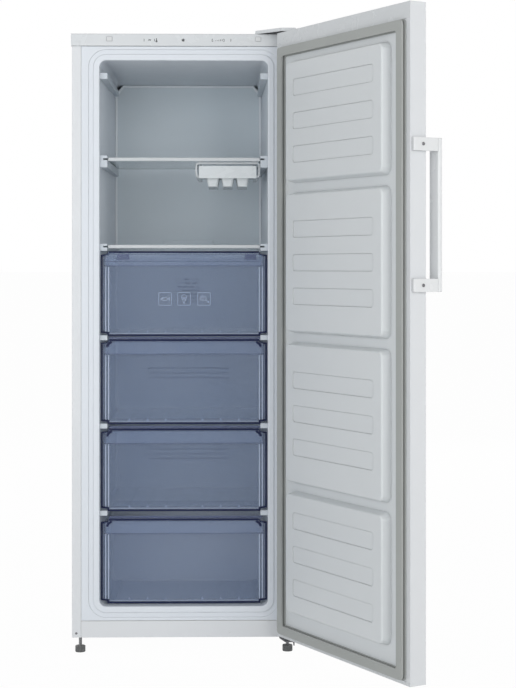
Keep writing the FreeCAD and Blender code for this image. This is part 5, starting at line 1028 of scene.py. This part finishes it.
buttonMark = {
    "places": {"left": 0.0795, "right": 0.4755}, "z": 1.637, "depth": -0.030, "half": 0.0072,
    "halfHigh": 0.0058, "corner": 0.0012, "line": 0.0007, "rise": 0.00012,
}
buttonLine = coveredFinish("Button outline", {
    "colour": (0.38, 0.39, 0.41), "shade": (0.42, 0.43, 0.45), "grain": 1500.0, "depth": 0.05,
    "rough": (0.3, 0.45), "wear": 0.4, "worn": (0.6, 0.6, 0.62), "dust": 0.02,
    "edgeRadius": 0.0002})


def buildButtonMark(side, x):
    mark = buttonMark
    loop = roundedLoop(x - mark["half"], x + mark["half"], mark["z"] - mark["halfHigh"],
                       mark["z"] + mark["halfHigh"], mark["corner"])
    drawBands(f"{side}ButtonMark", [(loop, True)], mark["line"], mark["rise"],
              frontSurface(mark["depth"]), buttonLine, f"{side}_button_body")


for side, x in buttonMark["places"].items():
    buildButtonMark(side, x)
print("button marks built")


hingeCap = {
    "place": (0.558, -0.066, 1.6600),
    "profile": ((0.0062, -0.0002), (0.0062, 0.0004), (0.0055, 0.0008), (0.0035, 0.0008),
                (0.0030, 0.0002), (0.0, 0.0001)),
}


def buildHingeCap():
    shape = bmesh.new()
    lathe(shape, hingeCap["profile"], hingeCap["place"], (0, 0, 1))
    finishPiece("hingeCoverPinCap", shape, finishes["black_plastic"], "cabinet")


buildHingeCap()
print("hinge cap built")


glassEdge = {"left": 0.0645, "right": 0.4905, "front": 0.016, "back": 0.3775, "corner": 0.026,
             "width": 0.0028, "rise": 0.0005, "levels": {"upper": 1.316, "lower": 1.082}}
edgeGlass = clearMoulding("Ground glass edge", groundEdge)


def buildGlassEdge(shelf, level):
    edge = glassEdge
    left, right, back, corner = edge["left"], edge["right"], edge["back"], edge["corner"]
    line = [(left, edge["front"])] + arc(left + corner, back - corner, corner, 180, 90)
    line += arc(right - corner, back - corner, corner, 90, 0) + [(right, edge["front"])]
    under = (Vector((0, 0, level)), Vector((1, 0, 0)), Vector((0, 1, 0)), Vector((0, 0, -1)))
    drawBands(f"{shelf}ShelfGlassEdge", [(line, False)], edge["width"], edge["rise"], under,
              edgeGlass, f"{shelf}_shelf")


for shelf, level in glassEdge["levels"].items():
    buildGlassEdge(shelf, level)
print("glass edges built")


rearLip = {
    "left": -0.0190, "right": 0.5740, "low": 0.2770, "high": 0.2918, "shoulder": 0.2915,
    "back": 0.5575, "proud": 0.5638, "bend": 0.0006,
    "screws": (0.02, 0.15, 0.2775, 0.405, 0.535), "screwUp": 0.2843, "screwRadius": 0.0030,
    "screwRise": 0.0003, "screwSunk": 0.0001,
}


def buildRearLip():
    lip = rearLip
    back, proud, low, high, bend = lip["back"], lip["proud"], lip["low"], lip["high"], lip["bend"]
    shape = bmesh.new()
    fold = [(back, low), (proud - bend, low), (proud, low + bend),
            (proud, lip["shoulder"]), (proud - bend, high), (back, high)]
    ends = [[shape.verts.new((x, y, z)) for y, z in fold] for x in (lip["left"], lip["right"])]
    for step in range(len(fold)):
        following = (step + 1) % len(fold)
        shape.faces.new((ends[0][step], ends[0][following], ends[1][following],
                         ends[1][step]))
    shape.faces.new(ends[0][::-1])
    shape.faces.new(ends[1])
    for x in lip["screws"]:
        crossHead(shape, (x, proud - lip["screwSunk"], lip["screwUp"]), (0, 1, 0),
                  lip["screwRadius"], lip["screwRise"])
    finishPiece("rearFoldedLip", shape, finishes["zinc_steel"], "cabinet")


buildRearLip()
print("rear lip built")


studio = {
    "floorHalf": 400.0, "floorColour": (0.92, 0.92, 0.92), "floorTone": 0.98,
    "floorGrain": 200.0, "floorRough": 0.9, "floorGlow": 0.975, "ambient": 0.45,
    "clearDepth": 32,
}
# place, aim, size, power and colour of each lamp
lamps = {
    "keyLamp": ((2.9, -4.2, 1.8), (0.3, 0.0, 0.9), (2.6, 2.8), 68.0, (1.0, 1.0, 1.0)),
    "fillLamp": ((-1.5, -4.9, 1.3), (0.3, 0.0, 0.9), (2.4, 2.8), 54.0, (0.94, 0.97, 1.0)),
    "sideLamp": ((-3.6, -3.2, 1.3), (0.3, 0.0, 0.9), (2.0, 2.8), 22.0, (0.96, 0.98, 1.0)),
    "rearLamp": ((2.2, 4.6, 2.2), (0.3, 0.3, 0.9), (2.8, 2.8), 34.0, (1.0, 1.0, 1.0)),
    "rearFillLamp": ((-2.8, 4.2, 1.8), (0.3, 0.3, 0.9), (2.8, 2.8), 20.0, (1.0, 1.0, 1.0)),
}
cameraView = {
    "lens": 82.38, "sensor": 36.0, "place": (0.3998, -4.2257, 1.0266), "yaw": -0.018,
    "shiftY": -0.1103,
}


def seenDirectly(tree):
    path = addNode(tree, "ShaderNodeLightPath").outputs
    mirrored = calc(tree, "MAXIMUM", path["Is Glossy Ray"], path["Is Transmission Ray"])
    return calc(tree, "MAXIMUM", path["Is Camera Ray"], mirrored)


def buildFloor():
    mesh = bpy.data.meshes.new("Studio floor")
    half = studio["floorHalf"]
    corners = [(-half, -half, 0.0), (half, -half, 0.0), (half, half, 0.0), (-half, half, 0.0)]
    mesh.from_pydata(corners, [], [(0, 1, 2, 3)])
    floor = bpy.data.objects.new("studioFloor", mesh)
    bpy.context.scene.collection.objects.link(floor)
    material, tree, shader = newFinish("Studio floor")
    grain = placeGroup(tree, "Surface grain", Scale=studio["floorGrain"])
    white = studio["floorColour"]
    toned = [studio["floorTone"] * part for part in white]
    tree.links.new(mixColours(tree, grain["Tone"], white, toned), shader.inputs["Base Color"])
    setShader(shader, **{"Roughness": studio["floorRough"], "Specular IOR Level": 0.0})
    glow = addNode(tree, "ShaderNodeEmission", {"Color": (1, 1, 1, 1), "Strength": 1.0})
    share = calc(tree, "MULTIPLY", seenDirectly(tree), studio["floorGlow"])
    mixed = addNode(tree, "ShaderNodeMixShader",
                    {0: share, 1: shader.outputs[0], 2: glow.outputs[0]})
    tree.links.new(mixed.outputs[0], tree.nodes["Material Output"].inputs["Surface"])
    mesh.materials.append(material)


def buildWorld():
    world = bpy.data.worlds.new("Studio world")
    bpy.context.scene.world = world
    world.use_nodes = True
    tree = world.node_tree
    back = tree.nodes["Background"]
    back.inputs["Color"].default_value = (1.0, 1.0, 1.0, 1.0)
    tree.links.new(spread(tree, seenDirectly(tree), studio["ambient"], 1.0),
                   back.inputs["Strength"])


def addLamp(name, place, target, size, power, colour):
    lamp = bpy.data.lights.new(name, "AREA")
    lamp.shape = "RECTANGLE"
    lamp.size, lamp.size_y = size
    lamp.energy = power
    lamp.color = colour
    holder = bpy.data.objects.new(name, lamp)
    bpy.context.scene.collection.objects.link(holder)
    holder.location = place
    aim = Vector(target) - Vector(place)
    holder.rotation_euler = aim.to_track_quat("-Z", "Y").to_euler()


def buildCamera():
    camera = bpy.data.cameras.new("Photo camera")
    camera.lens = cameraView["lens"]
    camera.sensor_width = cameraView["sensor"]
    camera.shift_y = cameraView["shiftY"]
    holder = bpy.data.objects.new("photoCamera", camera)
    bpy.context.scene.collection.objects.link(holder)
    holder.location = cameraView["place"]
    holder.rotation_euler = (math.pi / 2, 0.0, cameraView["yaw"])
    bpy.context.scene.camera = holder


buildFloor()
buildWorld()
for lampName, settings in lamps.items():
    addLamp(lampName, *settings)
buildCamera()
scene = bpy.context.scene
scene.view_settings.view_transform = "Standard"
scene.cycles.transparent_max_bounces = studio["clearDepth"]
print("studio set")
